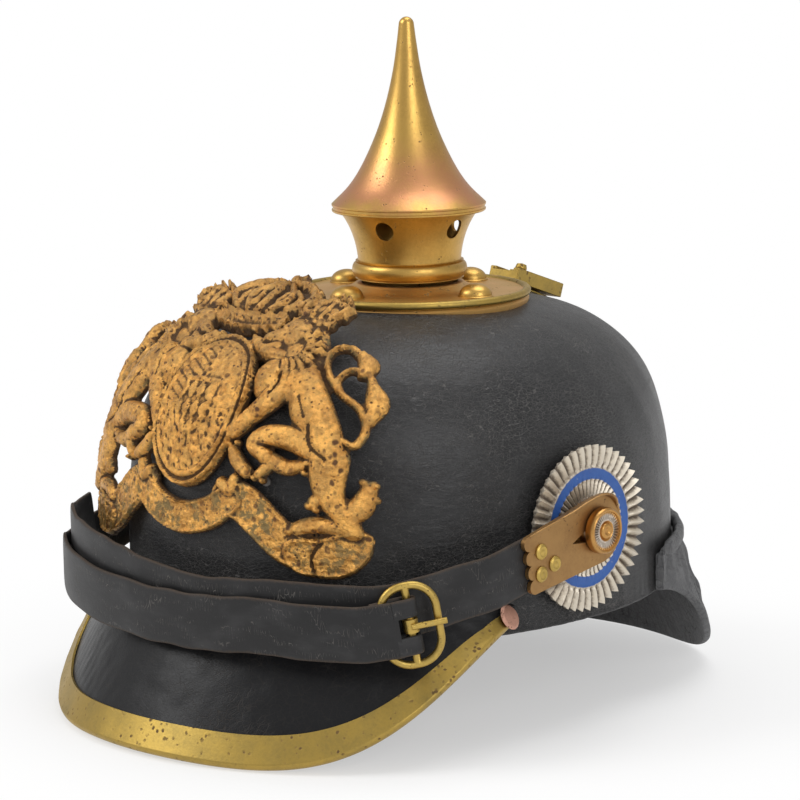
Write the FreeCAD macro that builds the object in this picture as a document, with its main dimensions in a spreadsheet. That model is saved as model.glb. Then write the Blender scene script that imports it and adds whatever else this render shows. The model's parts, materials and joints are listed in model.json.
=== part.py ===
"""Leather parade helmet with a brass spike, standing on its two visors.

The helmet is drawn in its own frame, in millimetres: the spike's axis is Z, the
front visor points along -Y and the wearer's left is +X.  Every finished piece is
then leaned forward and lowered onto the ground, so that the exported parts stand
on Z = 0 with the middle of their box over the origin.
"""
import FreeCAD, Part
import math
import os

import Sketcher
from FreeCAD import Placement, Rotation, Vector

# ---------------------------------------------------------------- sizes
SIZES = {
    # leather shell: an oval dome, flat-topped, cut level at its base
    "shell_half_width": 95.0,
    "shell_half_length": 113.0,
    "shell_forward": 5.0,
    "shell_base": 43.0,
    "shell_rise": 110.0,
    "shell_wall": 3.0,
    "crown_hole_radius": 13.0,
    # visors: leather sheets that leave the shell at a seam and flare to an edge
    "visor_wall": 3.0,
    "seat_gap": 0.15,
    "front_seam_height": 53.0,
    "front_reach": 25.5,
    "front_span": 67.0,
    "front_end_height": 48.0,
    "front_arch": 7.0,
    "rear_seam_height": 56.0,
    "rear_reach": 17.0,
    "rear_span": 62.0,
    "rear_end_height": 43.0,
    "lip_height": 4.0,
    "lip_overhang": 2.2,
    # brass strip folded over the front visor's edge
    "trim_sheet": 0.8,
    "trim_width": 10.5,
    "trim_inner_width": 6.0,
    "trim_gap": 0.2,
    "trim_rivet_radius": 4.8,
    # spike
    "cone_height": 70.0,
    "rim_radius": 29.3,
    "rim_band": 3.0,
    "rim_height": 34.0,
    "tip_radius": 2.9,
    "neck_top_radius": 26.2,
    "neck_waist_radius": 19.7,
    "neck_wall": 1.2,
    "neck_foot": 5.5,
    "vent_radius": 3.6,
    "vent_height": 25.3,
    "vent_count": 5,
    "vent_start": 20.0,
    "bead_radius": 21.9,
    "bead_height": 6.6,
    # round base plate on the crown
    "plate_radius": 46.0,
    "plate_sheet": 1.2,
    "plate_rim": 1.4,
    "stud_circle": 34.0,
    "stud_radius": 6.7,
    "stud_dome": 5.0,
    "shank_radius": 1.6,
    "hole_clearance": 0.15,
    "washer_radius": 5.0,
    "washer_thickness": 1.0,
    # rear spine and its sliding vent
    "spine_width": 9.0,
    "spine_sheet": 1.2,
    "vent_box_length": 28.0,
    "vent_box_width": 15.0,
    "vent_seat_share": 0.575,
    "vent_stand": 1.6,
    "rail_height": 3.2,
    "rail_wall": 1.6,
    "rail_lip": 1.4,
    "slide_length": 15.0,
    "slide_sheet": 1.0,
    "slide_clearance": 0.3,
    "knob_radius": 2.4,
    "knob_height": 3.0,
    # stamped front plate
    "badge_sheet": 1.8,
    "badge_gap": 0.3,
    "badge_tilt": 25.0,
    "shield_half_width": 19.0,
    "shield_half_height": 27.0,
    # side posts, cockades and strap lugs
    "post_ahead": 9.0,
    "post_height": 76.0,
    "post_radius": 6.0,
    "post_head_radius": 8.5,
    "post_head_length": 4.0,
    "post_clearance": 0.1,
    "cockade_radius": 30.5,
    "cockade_sheet": 1.6,
    "cockade_flutes": 46,
    "cockade_scallop": 1.5,
    "collar_length": 3.2,
    "collar_radius": 9.0,
    "lug_sheet": 1.7,
    "lug_radius": 12.5,
    "lug_half_width": 10.8,
    "lug_length": 39.0,
    "lug_notch": 15.0,
    "lug_rivet_radius": 2.8,
    "end_play": 0.4,
    # chin strap, stowed over the front visor
    "strap_width": 20.0,
    "strap_sheet": 1.8,
    "strap_reach": 122.5,
    "strap_drop": 24.0,
    "strap_half_span": 97.5,
    "strap_bulge": 12.0,
    "strap_layer_gap": 3.2,
    "fold_room": 3.0,
    "strap_stagger": 6.0,
    "strap_sag": 4.5,
    "buckle_angle": 52.0,
    "buckle_height": 31.0,
    "buckle_width": 22.3,
    "buckle_tilt": 5.0,
    "buckle_wire": 1.4,
    "prong_radius": 1.1,
    "prong_slot": 6.0,
    # liner
    "band_height": 38.0,
    "band_sheet": 1.6,
    "tongue_count": 12,
    "tongue_gap": 9.0,
    "liner_stand": 8.0,
    "liner_opening_share": 0.4,
}

doc = FreeCAD.newDocument("spiked_helmet")
sheet = doc.addObject("Spreadsheet::Sheet", "sizes")
for row, (alias, number) in enumerate(SIZES.items(), start=1):
    sheet.set(f"A{row}", alias)
    sheet.set(f"B{row}", str(number))
    sheet.setAlias(f"B{row}", alias)
doc.recompute()


class Size:
    """A number that remembers the sheet formula that it comes from."""

    def __init__(self, text, value):
        self.text = text
        self.value = float(value)

    def join(self, sign, other, result, swap=False):
        """Write self, sign, other as one formula; swap puts other first."""
        texts = [self.text, other.text if isinstance(other, Size) else str(other)]
        if swap:
            texts.reverse()
        return Size(f"({texts[0]} {sign} {texts[1]})", result)

    def __add__(self, other):
        return self.join("+", other, self.value + number_of(other))

    def __sub__(self, other):
        return self.join("-", other, self.value - number_of(other))

    def __mul__(self, other):
        return self.join("*", other, self.value * number_of(other))

    def __truediv__(self, other):
        return self.join("/", other, self.value / number_of(other))

    def __radd__(self, other):
        return self.join("+", other, number_of(other) + self.value, swap=True)

    def __rsub__(self, other):
        return self.join("-", other, number_of(other) - self.value, swap=True)

    __rmul__ = __mul__


def number_of(thing):
    """The plain number of a Size or of a number."""
    return thing.value if isinstance(thing, Size) else float(thing)


def text_of(thing):
    """The formula of a Size or of a number."""
    return thing.text if isinstance(thing, Size) else str(thing)


def size(alias):
    """The Size of one alias of the sheet."""
    return Size(f"sizes.{alias}", sheet.get(alias))


def mm(alias):
    """The plain number of one alias of the sheet."""
    return size(alias).value


# ---------------------------------------------------------------- the dome as a formula
MID = Vector(0, -mm("shell_forward"), 0)
CROWN = size("shell_base") + size("shell_rise")
CROWN_Z = CROWN.value


def dome_share(height, offset=0.0):
    """Share of the base oval that is left at a height: (1 - t^4)^(1/3)."""
    rise = mm("shell_rise") + offset
    level = min(max((height - mm("shell_base")) / rise, 0.0), 1.0)
    return (1 - level**4) ** (1 / 3)


def dome_point(turn, height, offset=0.0):
    """A point of the dome; turn is the oval's parameter in radians from -Y to +X."""
    share = dome_share(height, offset)
    across = (mm("shell_half_width") + offset) * share
    along = (mm("shell_half_length") + offset) * share
    return MID + Vector(across * math.sin(turn), -along * math.cos(turn), height)


def dome_reach(bearing, height, offset=0.0):
    """Distance from the shell's middle to the dome along a bearing from -Y."""
    share = dome_share(height, offset)
    across = (mm("shell_half_width") + offset) * share
    along = (mm("shell_half_length") + offset) * share
    return 1 / math.hypot(math.sin(bearing) / across, math.cos(bearing) / along)


def dome_normal(point):
    """Outward unit normal of the dome at a point of its surface."""
    rise = mm("shell_rise")
    level = min((point.z - mm("shell_base")) / rise, 0.999)
    away = point - MID
    steep = (4 / 3) * level**3 / (rise * (1 - level**4) ** (1 / 3))
    across, along = away.x / mm("shell_half_width") ** 2, away.y / mm("shell_half_length") ** 2
    normal = Vector(across, along, steep)
    return normal.normalize()


def dome_at(x, height, rear=False):
    """The dome's surface point over x at a height, on the front or the rear."""
    share = dome_share(height)
    lean = math.asin(x / (mm("shell_half_width") * share))
    return dome_point(math.pi - lean if rear else lean, height)


def dome_top(x, y):
    """The dome's surface point straight above x, y."""
    share = math.hypot(x / mm("shell_half_width"), (y - MID.y) / mm("shell_half_length"))
    level = (1 - share**3) ** 0.25
    return Vector(x, y, mm("shell_base") + mm("shell_rise") * level)


# ---------------------------------------------------------------- building blocks
pieces = []


def keep(piece, label):
    """Name a finished sub-part and list it for export."""
    piece.Label = label
    pieces.append(piece)
    return piece


def feature(shape, label):
    """A sub-part whose shape is worked out here."""
    piece = doc.addObject("Part::Feature", label)
    piece.Shape = shape
    return piece


def aim(base, direction):
    """Placement that turns Z to a direction and moves the origin to base."""
    return Placement(base, Rotation(Vector(0, 0, 1), direction))


def rod(name, radius, length, base, direction):
    """A Part::Cylinder from base along a direction."""
    cylinder = doc.addObject("Part::Cylinder", name)
    cylinder.setExpression("Radius", text_of(radius))
    cylinder.setExpression("Height", text_of(length))
    cylinder.Placement = aim(base, direction)
    return cylinder


def fuse(name, tools):
    """A Part::MultiFuse of several objects."""
    union = doc.addObject("Part::MultiFuse", name)
    union.Shapes = tools
    return union


def cut(name, base, tool):
    """A Part::Cut of two objects."""
    result = doc.addObject("Part::Cut", name)
    result.Base = base
    result.Tool = tool
    return result


def common(name, base, tool):
    """A Part::Common of two objects."""
    result = doc.addObject("Part::Common", name)
    result.Base = base
    result.Tool = tool
    return result


def outline(body, name, points, plane="XZ_Plane", curves=()):
    """A closed sketch through points whose coordinates follow the sheet.

    points are (across, up) pairs of numbers or Sizes.  A segment whose index is in
    curves runs through the extra points given there as a smooth curve.
    """
    sketch = body.newObject("Sketcher::SketchObject", name)
    support = next(f for f in body.Origin.OriginFeatures if f.Role == plane)
    sketch.AttachmentSupport = [(support, "")]
    sketch.MapMode = "FlatFace"
    spots = [Vector(number_of(a), number_of(b), 0) for a, b in points]
    curves = dict(curves)
    for index, spot in enumerate(spots):
        following = spots[(index + 1) % len(spots)]
        if index in curves:
            via = [Vector(number_of(a), number_of(b), 0) for a, b in curves[index]]
            curve = Part.BSplineCurve()
            curve.interpolate([spot, *via, following])
            sketch.addGeometry(curve)
        else:
            sketch.addGeometry(Part.LineSegment(spot, following))
    for index in range(len(spots)):
        sketch.addConstraint(Sketcher.Constraint("Coincident", index, 2, (index + 1) % len(spots), 1))
    for index, (across, up) in enumerate(points):
        if number_of(across) == 0:
            sketch.addConstraint(Sketcher.Constraint("PointOnObject", index, 1, -2))
        else:
            bind(sketch, "DistanceX", index, across)
        if number_of(up) == 0:
            sketch.addConstraint(Sketcher.Constraint("PointOnObject", index, 1, -1))
        else:
            bind(sketch, "DistanceY", index, up)
    return sketch


def bind(sketch, kind, index, distance):
    """Hold the start of one line at a distance from the sketch's origin."""
    where = sketch.addConstraint(Sketcher.Constraint(kind, -1, 1, index, 1, number_of(distance)))
    sketch.setExpression(f"Constraints[{where}]", text_of(distance))


def turned(name, points, axis="V_Axis", curves=()):
    """A PartDesign body turned from an outline about the sketch's own axis."""
    body = doc.addObject("PartDesign::Body", name)
    sketch = outline(body, f"{name}_profile", points, curves=curves)
    turn = body.newObject("PartDesign::Revolution", f"{name}_turn")
    turn.Profile = sketch
    turn.ReferenceAxis = (sketch, [axis])
    turn.Angle = 360
    body.Tip = turn
    return body


def copies(body, placements, label):
    """One sub-part made of several placed copies of a body."""
    doc.recompute()
    solids = []
    for placement in placements:
        solid = body.Shape.copy()
        solid.Placement = placement.multiply(body.Placement)
        solids.append(solid)
    return keep(feature(Part.makeCompound(solids), label), label)


def lofted(rings):
    """A solid skinned through closed rings of points, one after another."""
    wires = [Part.makePolygon([*ring, ring[0]]) for ring in rings]
    solid = Part.makeLoft(wires, True, False)
    return solid if solid.Volume > 0 else solid.reversed()


def spread(low, high, count):
    """Evenly spaced numbers from low to high."""
    return [low + (high - low) * i / (count - 1) for i in range(count)]


# ---------------------------------------------------------------- the visors as formulas
def visor_frame(bearing, seam, reach, edge_height, rear):
    """Seam point, edge point and outward direction of a visor at one bearing.

    The edge stands out from the dome's base by the reach and hangs at the height given.
    """
    heading = math.pi - bearing if rear else bearing
    ray = Vector(math.sin(heading), -math.cos(heading), 0)
    top = MID + ray * (dome_reach(heading, seam) + mm("seat_gap")) + Vector(0, 0, seam)
    foot = MID + ray * (dome_reach(heading, mm("shell_base")) + reach) + Vector(0, 0, edge_height)
    flare = ray * (foot - top).dot(ray) + Vector(0, 0, foot.z - top.z)
    wall = mm("visor_wall")
    # the outer face starts one wall outside the seam, so the sheet keeps its thickness
    outer_top = top + ray * wall
    down = (foot - outer_top).normalize()
    out = (ray - down * ray.dot(down)).normalize()
    return top, outer_top, foot, down, out, ray


def front_frame(share):
    """The front visor's frame at a share -1..1 of its span."""
    q = abs(share)
    bearing = math.radians(mm("front_span")) * share
    wall = mm("visor_wall") + mm("seat_gap")
    reach = wall + mm("front_reach") * (1 - q**3.8)
    swing = math.pi / 2 * q**1.22
    height = mm("front_end_height") * math.sin(swing) ** 3.9 + mm("front_arch") * math.cos(swing) ** 4
    return visor_frame(bearing, mm("front_seam_height"), reach, height, False)


def rear_frame(share):
    """The rear visor's frame at a share -1..1 of its span."""
    q = abs(share)
    bearing = math.radians(mm("rear_span")) * share
    wall = mm("visor_wall") + mm("seat_gap")
    reach = wall + mm("rear_reach") * (1 - q**2.8)
    height = mm("rear_end_height") * math.sin(math.pi / 2 * q**1.05) ** 4.5
    return visor_frame(bearing, mm("rear_seam_height"), reach, height, True)


RIVET_SHARE = 0.962
rivet_seats = []
for side in (1, -1):
    top, outer_top, foot, down, out, ray = front_frame(side * RIVET_SHARE)
    ahead = front_frame(side * (RIVET_SHARE - 0.01))[2] - foot
    facing = ahead.cross(down).normalize() * side
    rivet_seats.append((foot - down * 2.2, facing))


# ---------------------------------------------------------------- leather shell
DOME_SHARES = (0.9997, 0.995, 0.975, 0.935, 0.87, 0.78, 0.66, 0.5, 0.32, 0.14)


def dome_solid(name, offset, drop=0.0):
    """A solid dome: ovals shrinking by (1 - t^4)^(1/3), skinned from base to crown."""
    rings = []
    levels = [(-drop, 1.0)] if drop else []
    levels.append((0.0, 1.0))
    levels += [((1 - share**3) ** 0.25, share) for share in DOME_SHARES]
    for index, (level, share) in enumerate(levels):
        oval = doc.addObject("Part::Ellipse", f"{name}_oval_{index}")
        oval.setExpression("MajorRadius", text_of((size("shell_half_length") + offset) * round(share, 5)))
        oval.setExpression("MinorRadius", text_of((size("shell_half_width") + offset) * round(share, 5)))
        if level < 0:
            height = size("shell_base") - drop
        else:
            height = size("shell_base") + (size("shell_rise") + offset) * round(level, 5)
        oval.Placement = Placement(Vector(0, 0, 0), Rotation(Vector(0, 0, 1), 90))
        oval.setExpression("Placement.Base.y", text_of(0 - size("shell_forward")))
        oval.setExpression("Placement.Base.z", text_of(height))
        rings.append(oval)
    loft = doc.addObject("Part::Loft", name)
    loft.Sections = rings
    loft.Solid = True
    loft.Ruled = False
    return loft


PIERCE = 8.0


def pierce(name, radius, point, normal):
    """A drill through the dome at a surface point, along its normal."""
    return rod(name, radius, Size(str(3 * PIERCE), 3 * PIERCE), point - normal * (2 * PIERCE), normal)


stud_bearings = [math.radians(quarter * 90) for quarter in range(4)]
stud_spots = [
    dome_top(mm("stud_circle") * math.sin(bearing), -mm("stud_circle") * math.cos(bearing))
    for bearing in stud_bearings
]
BADGE_POST_ACROSS = 0.347 * mm("shell_half_width")
BADGE_POST_HEIGHT = mm("shell_base") + 0.518 * mm("shell_rise")
badge_spots = [dome_at(side * BADGE_POST_ACROSS, BADGE_POST_HEIGHT) for side in (1, -1)]
spine_spot = dome_at(0.0, 72.0, rear=True)
post_at = Vector(0, -mm("post_ahead"), mm("post_height"))
shank_hole = size("shank_radius") + size("hole_clearance")

upward = Vector(0, 0, 1)
drills = [rod("crown_drill", size("crown_hole_radius"), Size("30", 30), Vector(0, 0, CROWN_Z - 20), upward)]
for index, spot in enumerate(stud_spots):
    drills.append(rod(f"stud_drill_{index}", shank_hole, Size("24", 24), spot - upward * 12, upward))
for index, spot in enumerate([*badge_spots, spine_spot]):
    drills.append(pierce(f"shell_drill_{index}", shank_hole, spot, dome_normal(spot)))
post_hole = size("post_radius") + size("post_clearance")
post_drill_start = post_at - Vector(2 * mm("shell_half_width"), 0, 0)
drills.append(rod("post_drill", post_hole, size("shell_half_width") * 4, post_drill_start, Vector(1, 0, 0)))

dome = dome_solid("dome", 0 * size("shell_wall"))
cavity = dome_solid("cavity", 0 - size("shell_wall"), drop=2.0)
for index, (spot, out) in enumerate(rivet_seats):
    drills.append(rod(f"rivet_drill_{index}", shank_hole, size("shell_wall") * 8, spot - out * 20, out))
shell_blank = cut("shell_blank", dome, cavity)
keep(cut("shell_cut", shell_blank, fuse("shell_drills", drills)), "shell")


# ---------------------------------------------------------------- visors
def visor_ring(frame):
    """The four corners of a visor's section."""
    top, outer_top, foot, down, out, ray = frame
    inner_foot = foot - out * mm("visor_wall")
    return [top, outer_top, foot, inner_foot]


def lipped_ring(frame):
    """A visor's section with its raised, rolled upper lip."""
    top, outer_top, foot, down, out, ray = frame
    up = Vector(0, 0, mm("lip_height"))
    over = ray * mm("lip_overhang")
    inner_foot = foot - out * mm("visor_wall")
    return [top, top + up, outer_top + up * 0.85 + over, outer_top - up * 0.2 + over, outer_top - up * 0.5,
            foot, inner_foot]


STATIONS = 17
front_shape = lofted([visor_ring(front_frame(q)) for q in spread(-1, 1, STATIONS)])
rear_shape = lofted([lipped_ring(rear_frame(q)) for q in spread(-1, 1, STATIONS)])


def drilled(shape, seats, radius):
    """A shape with round holes at seats, each a point and a direction."""
    for spot, direction in seats:
        shape = shape.cut(Part.makeCylinder(radius, 3 * PIERCE, spot - direction * PIERCE * 1.5, direction))
    return shape


keep(feature(drilled(front_shape, rivet_seats, shank_hole.value), "front_visor"), "front_visor")
keep(feature(rear_shape, "rear_visor"), "rear_visor")


# ---------------------------------------------------------------- brass trim of the front visor
TRIM_FOLD_SHARE = 0.88
TRIM_END_SHARE = 0.985


def trim_ring(share):
    """The folded strip's section: outer leg, fold round the edge and inner leg."""
    top, outer_top, foot, down, out, ray = front_frame(share)
    gap, metal, wall = mm("trim_gap"), mm("trim_sheet"), mm("visor_wall")
    fade = (abs(share) / TRIM_FOLD_SHARE) ** 8
    outer = mm("trim_width") - (mm("trim_width") - 6.0) * fade
    inner = mm("trim_inner_width") - (mm("trim_inner_width") - 2.0) * fade
    near, far = out * gap, out * (gap + metal)
    back_near, back_far = out * -(wall + gap), out * -(wall + gap + metal)
    return [foot - down * outer + near, foot - down * outer + far,
            foot + down * (gap + metal) + far, foot + down * (gap + metal) + back_far,
            foot - down * inner + back_far, foot - down * inner + back_near,
            foot + down * gap + back_near, foot + down * gap + near]


def tongue_ring(share):
    """The flat tongue that carries the strip on to its rivet."""
    top, outer_top, foot, down, out, ray = front_frame(share)
    gap, metal = mm("trim_gap"), mm("trim_sheet")
    run = (abs(share) - TRIM_FOLD_SHARE) / (TRIM_END_SHARE - TRIM_FOLD_SHARE)
    wide = 6.0 - 2.4 * run
    low = down * ((gap + metal) * (1 - run))
    return [foot - down * wide + out * gap, foot - down * wide + out * (gap + metal),
            foot + low + out * (gap + metal), foot + low + out * gap]


trim_shape = lofted([trim_ring(q) for q in spread(-TRIM_FOLD_SHARE, TRIM_FOLD_SHARE, STATIONS)])
for side in (1, -1):
    tongue = lofted([tongue_ring(side * q) for q in spread(TRIM_FOLD_SHARE, TRIM_END_SHARE, 4)])
    trim_shape = trim_shape.fuse(tongue)
trim_shape = drilled(trim_shape.removeSplitter(), rivet_seats, shank_hole.value)
keep(feature(trim_shape, "front_visor_trim"), "front_visor_trim")

rivet_stand = size("trim_gap") + size("trim_sheet") + 0.45
trim_rivet_length = size("visor_wall") + size("shell_wall") + 6.5
rivet_head = turned("trim_rivet", [
    (0, 0 - trim_rivet_length), (size("shank_radius"), 0 - trim_rivet_length),
    (size("shank_radius"), rivet_stand), (size("trim_rivet_radius"), rivet_stand),
    (size("trim_rivet_radius") * 0.8, rivet_stand + 0.9), (0, rivet_stand + 1.5)])
copies(rivet_head, [aim(spot, out) for spot, out in rivet_seats], "trim_rivets")

# ---------------------------------------------------------------- spike
rim_z = CROWN + size("rim_height")
cone_foot = rim_z - size("rim_band")
neck_foot = CROWN + size("neck_foot")


def cone_side(share_up, share_out):
    """A point of the cone's concave side, from shares of its height and rim."""
    return size("rim_radius") * share_out, rim_z + size("cone_height") * share_up


cone_curve = [cone_side(0.095, 0.775), cone_side(0.209, 0.597), cone_side(0.378, 0.41),
              cone_side(0.547, 0.276), cone_side(0.715, 0.182), cone_side(0.86, 0.128)]
cone_inner = size("neck_top_radius") - size("neck_wall") - 0.2
cone_tip = [(size("tip_radius") * 0.72, rim_z + size("cone_height") * 0.988)]
keep(turned("spike_cone_body", [
    (cone_inner, cone_foot), (size("rim_radius"), cone_foot), (size("rim_radius"), rim_z),
    (size("tip_radius"), rim_z + size("cone_height") * 0.957), (0, rim_z + size("cone_height")),
    (0, rim_z + size("cone_height") * 0.74), (size("rim_radius") * 0.46, rim_z + size("cone_height") * 0.21),
    (cone_inner, rim_z)],
    curves={2: cone_curve, 3: cone_tip}), "spike_cone")

waist = size("neck_waist_radius")
neck_rise = cone_foot - neck_foot
wall = size("neck_wall")


def neck_side(inset):
    """The neck's flaring side, moved inward by inset."""
    return [(waist - inset + 0.9, neck_foot + neck_rise * 0.53),
            (waist - inset + 2.9, neck_foot + neck_rise * 0.76)]


neck_body = turned("spike_neck_body", [
    (waist - wall, neck_foot), (waist, neck_foot), (waist, neck_foot + neck_rise * 0.33),
    (size("neck_top_radius"), cone_foot), (size("neck_top_radius") - wall, cone_foot),
    (waist - wall, neck_foot + neck_rise * 0.33)],
    curves={2: neck_side(0), 4: list(reversed(neck_side(wall)))})
vents = []
for index in range(int(mm("vent_count"))):
    bearing = math.radians(mm("vent_start") + 360 * index / int(mm("vent_count")))
    ray = Vector(math.sin(bearing), -math.cos(bearing), 0)
    start = ray * 10 + Vector(0, 0, CROWN_Z + mm("vent_height"))
    vents.append(rod(f"vent_{index}", size("vent_radius"), size("rim_radius"), start, ray))
keep(cut("spike_neck_cut", neck_body, fuse("vents", vents)), "spike_neck")

bead_foot = neck_foot + 0.3
bead_mid = bead_foot + size("bead_height") / 2
bead_shoulder = size("bead_radius") - 0.5
bead_bow = [(bead_shoulder, bead_foot + size("bead_height") * 0.2), (size("bead_radius"), bead_mid),
            (bead_shoulder, bead_foot + size("bead_height") * 0.8)]
keep(turned("neck_bead_body", [
    (waist, bead_foot), (waist + 0.9, bead_foot), (waist + 0.9, bead_foot + size("bead_height")),
    (waist, bead_foot + size("bead_height"))],
    curves={1: bead_bow}), "neck_bead")

# ---------------------------------------------------------------- base plate and its studs
plate_r = size("plate_radius")
metal = size("plate_sheet")
plate_z = CROWN + 0.2
flat_start = size("stud_circle") - size("stud_radius") - 0.4
flat_end = size("stud_circle") + size("stud_radius") + 0.6
plate_body = turned("base_plate_body", [
    (waist - metal, neck_foot), (waist - metal, neck_foot - 2.6), (flat_start - 3.0, plate_z),
    (flat_start, plate_z - metal * 0.5), (plate_r - size("plate_rim"), plate_z - metal * 0.5),
    (plate_r - size("plate_rim"), CROWN - 6.0), (plate_r, CROWN - 6.0), (plate_r, plate_z + 0.7),
    (plate_r - 1.0, plate_z + 1.6), (plate_r - 2.4, plate_z + 1.4), (flat_end, plate_z + metal * 0.5),
    (flat_start, plate_z + metal * 0.6), (flat_start - 3.0, plate_z + metal), (waist + 0.6, neck_foot - 1.6),
    (waist, neck_foot)])
dome_again = dome_solid("dome_under_plate", 0 * size("shell_wall"))
plate_drills = fuse("plate_drills", [
    rod(f"plate_drill_{index}", shank_hole, Size("24", 24), spot - Vector(0, 0, 12), Vector(0, 0, 1))
    for index, spot in enumerate(stud_spots)])
plate_seated = cut("base_plate_seated", plate_body, dome_again)
keep(cut("base_plate_cut", plate_seated, plate_drills), "base_plate")

stud_seat = plate_z + metal * 0.6 + 0.03
stud_r = size("stud_radius")
stud_body = turned("dome_stud_body", [
    (0, CROWN - 9.0), (size("shank_radius"), CROWN - 9.0), (size("shank_radius"), stud_seat),
    (stud_r, stud_seat), (0, stud_seat + size("stud_dome"))],
    curves={3: [(stud_r * 0.9, stud_seat + size("stud_dome") * 0.45),
                (stud_r * 0.55, stud_seat + size("stud_dome") * 0.85)]})
copies(stud_body, [Placement(Vector(spot.x, spot.y, 0), Rotation()) for spot in stud_spots], "dome_studs")

washer_body = turned("stud_washer_body", [
    (shank_hole, 0 - size("washer_thickness")), (size("washer_radius"), 0 - size("washer_thickness")),
    (size("washer_radius"), 0), (shank_hole, 0)])
washer_spots = [dome_top(spot.x, spot.y) - Vector(0, 0, mm("shell_wall") + 0.9) for spot in stud_spots]
copies(washer_body, [Placement(spot, Rotation()) for spot in washer_spots], "stud_washers")

# ---------------------------------------------------------------- rear spine
SPINE_STEPS = 24


def spine_line(offset):
    """The rear middle line from the plate, down the dome, over the lip to the edge."""
    line = []
    top_height = dome_top(0, mm("plate_radius") + 0.4).z
    foot_height = mm("rear_seam_height") + mm("lip_height") + 1.0
    for step in range(SPINE_STEPS + 1):
        height = foot_height + (top_height - foot_height) * math.cos(math.pi / 2 * step / SPINE_STEPS)
        point = dome_at(0.0, height, rear=True)
        line.append(point + dome_normal(point) * offset)
    top, outer_top, foot, down, out, ray = rear_frame(0)
    up = Vector(0, 0, mm("lip_height"))
    over = ray * mm("lip_overhang")
    line.append(outer_top + up + ray * (mm("lip_overhang") + offset * 0.5) + Vector(0, 0, offset))
    line.append(outer_top - up * 0.35 + over + ray * offset)
    line.append(foot - down * 2.0 + out * offset)
    return line


near_side = spine_line(mm("seat_gap"))
far_side = spine_line(mm("seat_gap") + mm("spine_sheet"))
spine_face = Part.Face(Part.makePolygon([*near_side, *reversed(far_side), near_side[0]]))
half_spine = Vector(mm("spine_width") / 2, 0, 0)
spine_face.translate(-half_spine)
spine_shape = spine_face.extrude(half_spine * 2)
spine_shape = drilled(spine_shape, [(spine_spot, dome_normal(spine_spot))], shank_hole.value)
keep(feature(spine_shape, "rear_spine"), "rear_spine")

spine_stand = size("seat_gap") + size("spine_sheet") + 0.1
spine_screw = turned("spine_screw_body", [
    (0, 0 - size("shell_wall") - 3.0), (size("shank_radius"), 0 - size("shell_wall") - 3.0),
    (size("shank_radius"), spine_stand), (3.2, spine_stand), (2.6, spine_stand + 1.1),
    (0, spine_stand + 1.7)])
copies(spine_screw, [aim(spine_spot, dome_normal(spine_spot))], "spine_screw")

# ---------------------------------------------------------------- sliding vent on the spine
vent_seat = dome_top(0, mm("vent_seat_share") * mm("shell_half_length"))
vent_out = dome_normal(vent_seat)
vent_slope = math.degrees(math.atan2(vent_out.y, vent_out.z))
vent_place = Placement(vent_seat + vent_out * mm("vent_stand"), Rotation(Vector(1, 0, 0), -vent_slope))


def block(name, wide, long, tall, x, y, z):
    """A Part::Box centred on x, starting at y and z, in the vent's own frame."""
    box = doc.addObject("Part::Box", name)
    for prop, length in (("Width", long), ("Length", wide), ("Height", tall)):
        box.setExpression(prop, text_of(length))
    box.Placement = Placement(Vector(x - number_of(wide) / 2, number_of(y), number_of(z)), Rotation())
    return box


rail_x = (mm("vent_box_width") - mm("rail_wall")) / 2
lip_x = (mm("vent_box_width") - mm("rail_wall") - mm("rail_lip")) / 2
box_start = 0 - size("vent_box_length") / 2
floor_z = size("spine_sheet")
rail_top = floor_z + size("rail_height")
vent_blocks = [block("vent_floor", size("vent_box_width"), size("vent_box_length"), size("spine_sheet"), 0,
                     box_start, 0)]
for side in (1, -1):
    vent_blocks.append(block(f"vent_rail_{side + 1}", size("rail_wall"), size("vent_box_length"),
                             size("rail_height"), side * rail_x, box_start, floor_z))
    vent_blocks.append(block(f"vent_lip_{side + 1}", size("rail_wall") + size("rail_lip"),
                             size("vent_box_length"), size("spine_sheet"), side * lip_x, box_start, rail_top))
vent_blocks.append(block("vent_front_stop", size("vent_box_width"), size("rail_wall"),
                         size("rail_height"), 0, box_start, floor_z))
vent_housing = fuse("vent_housing_union", vent_blocks)
vent_housing.Placement = vent_place
keep(vent_housing, "vent_housing")

slide_z = floor_z + size("slide_clearance")
slide_width = size("vent_box_width") - size("rail_wall") * 2 - size("slide_clearance") * 2
slide_start = box_start + size("rail_wall") + size("slide_clearance")
knob_room = rail_top + size("spine_sheet") - slide_z
slide = fuse("vent_slide_union", [
    block("vent_slide_plate", slide_width, size("slide_length"), size("slide_sheet"), 0,
          slide_start, slide_z),
    block("vent_slide_riser", size("rail_wall") * 2, size("slide_length") * 0.6, knob_room, 0,
          slide_start + size("slide_length") * 0.2, slide_z)])
slide.Placement = vent_place
keep(slide, "vent_slide")
knob_body = turned("vent_knob_body", [
    (0, 0), (size("knob_radius") * 0.7, 0), (size("knob_radius"), size("knob_height") * 0.5),
    (size("knob_radius") * 0.8, size("knob_height")), (0, size("knob_height") * 1.15)])
knob_at = Vector(0, (slide_start + size("slide_length") * 0.5).value, (slide_z + knob_room).value)
copies(knob_body, [vent_place.multiply(Placement(knob_at, Rotation()))], "vent_knob")

# ---------------------------------------------------------------- stamped front plate
badge_turn = Rotation(Vector(1, 0, 0), 90 - mm("badge_tilt"))
BADGE_NEAR = 45.0
BADGE_FAR = 185.0


def badge_slab(name, points):
    """A flat shape of the front plate, pushed through the dome along the plate's tilt."""
    spots = [Vector(x, y, 0) for x, y in points]
    slab = Part.Face(Part.makePolygon([*spots, spots[0]])).extrude(Vector(0, 0, BADGE_FAR - BADGE_NEAR))
    slab.Placement = Placement(badge_turn.multVec(Vector(0, 0, BADGE_NEAR)), badge_turn)
    return feature(slab, name)


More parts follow.
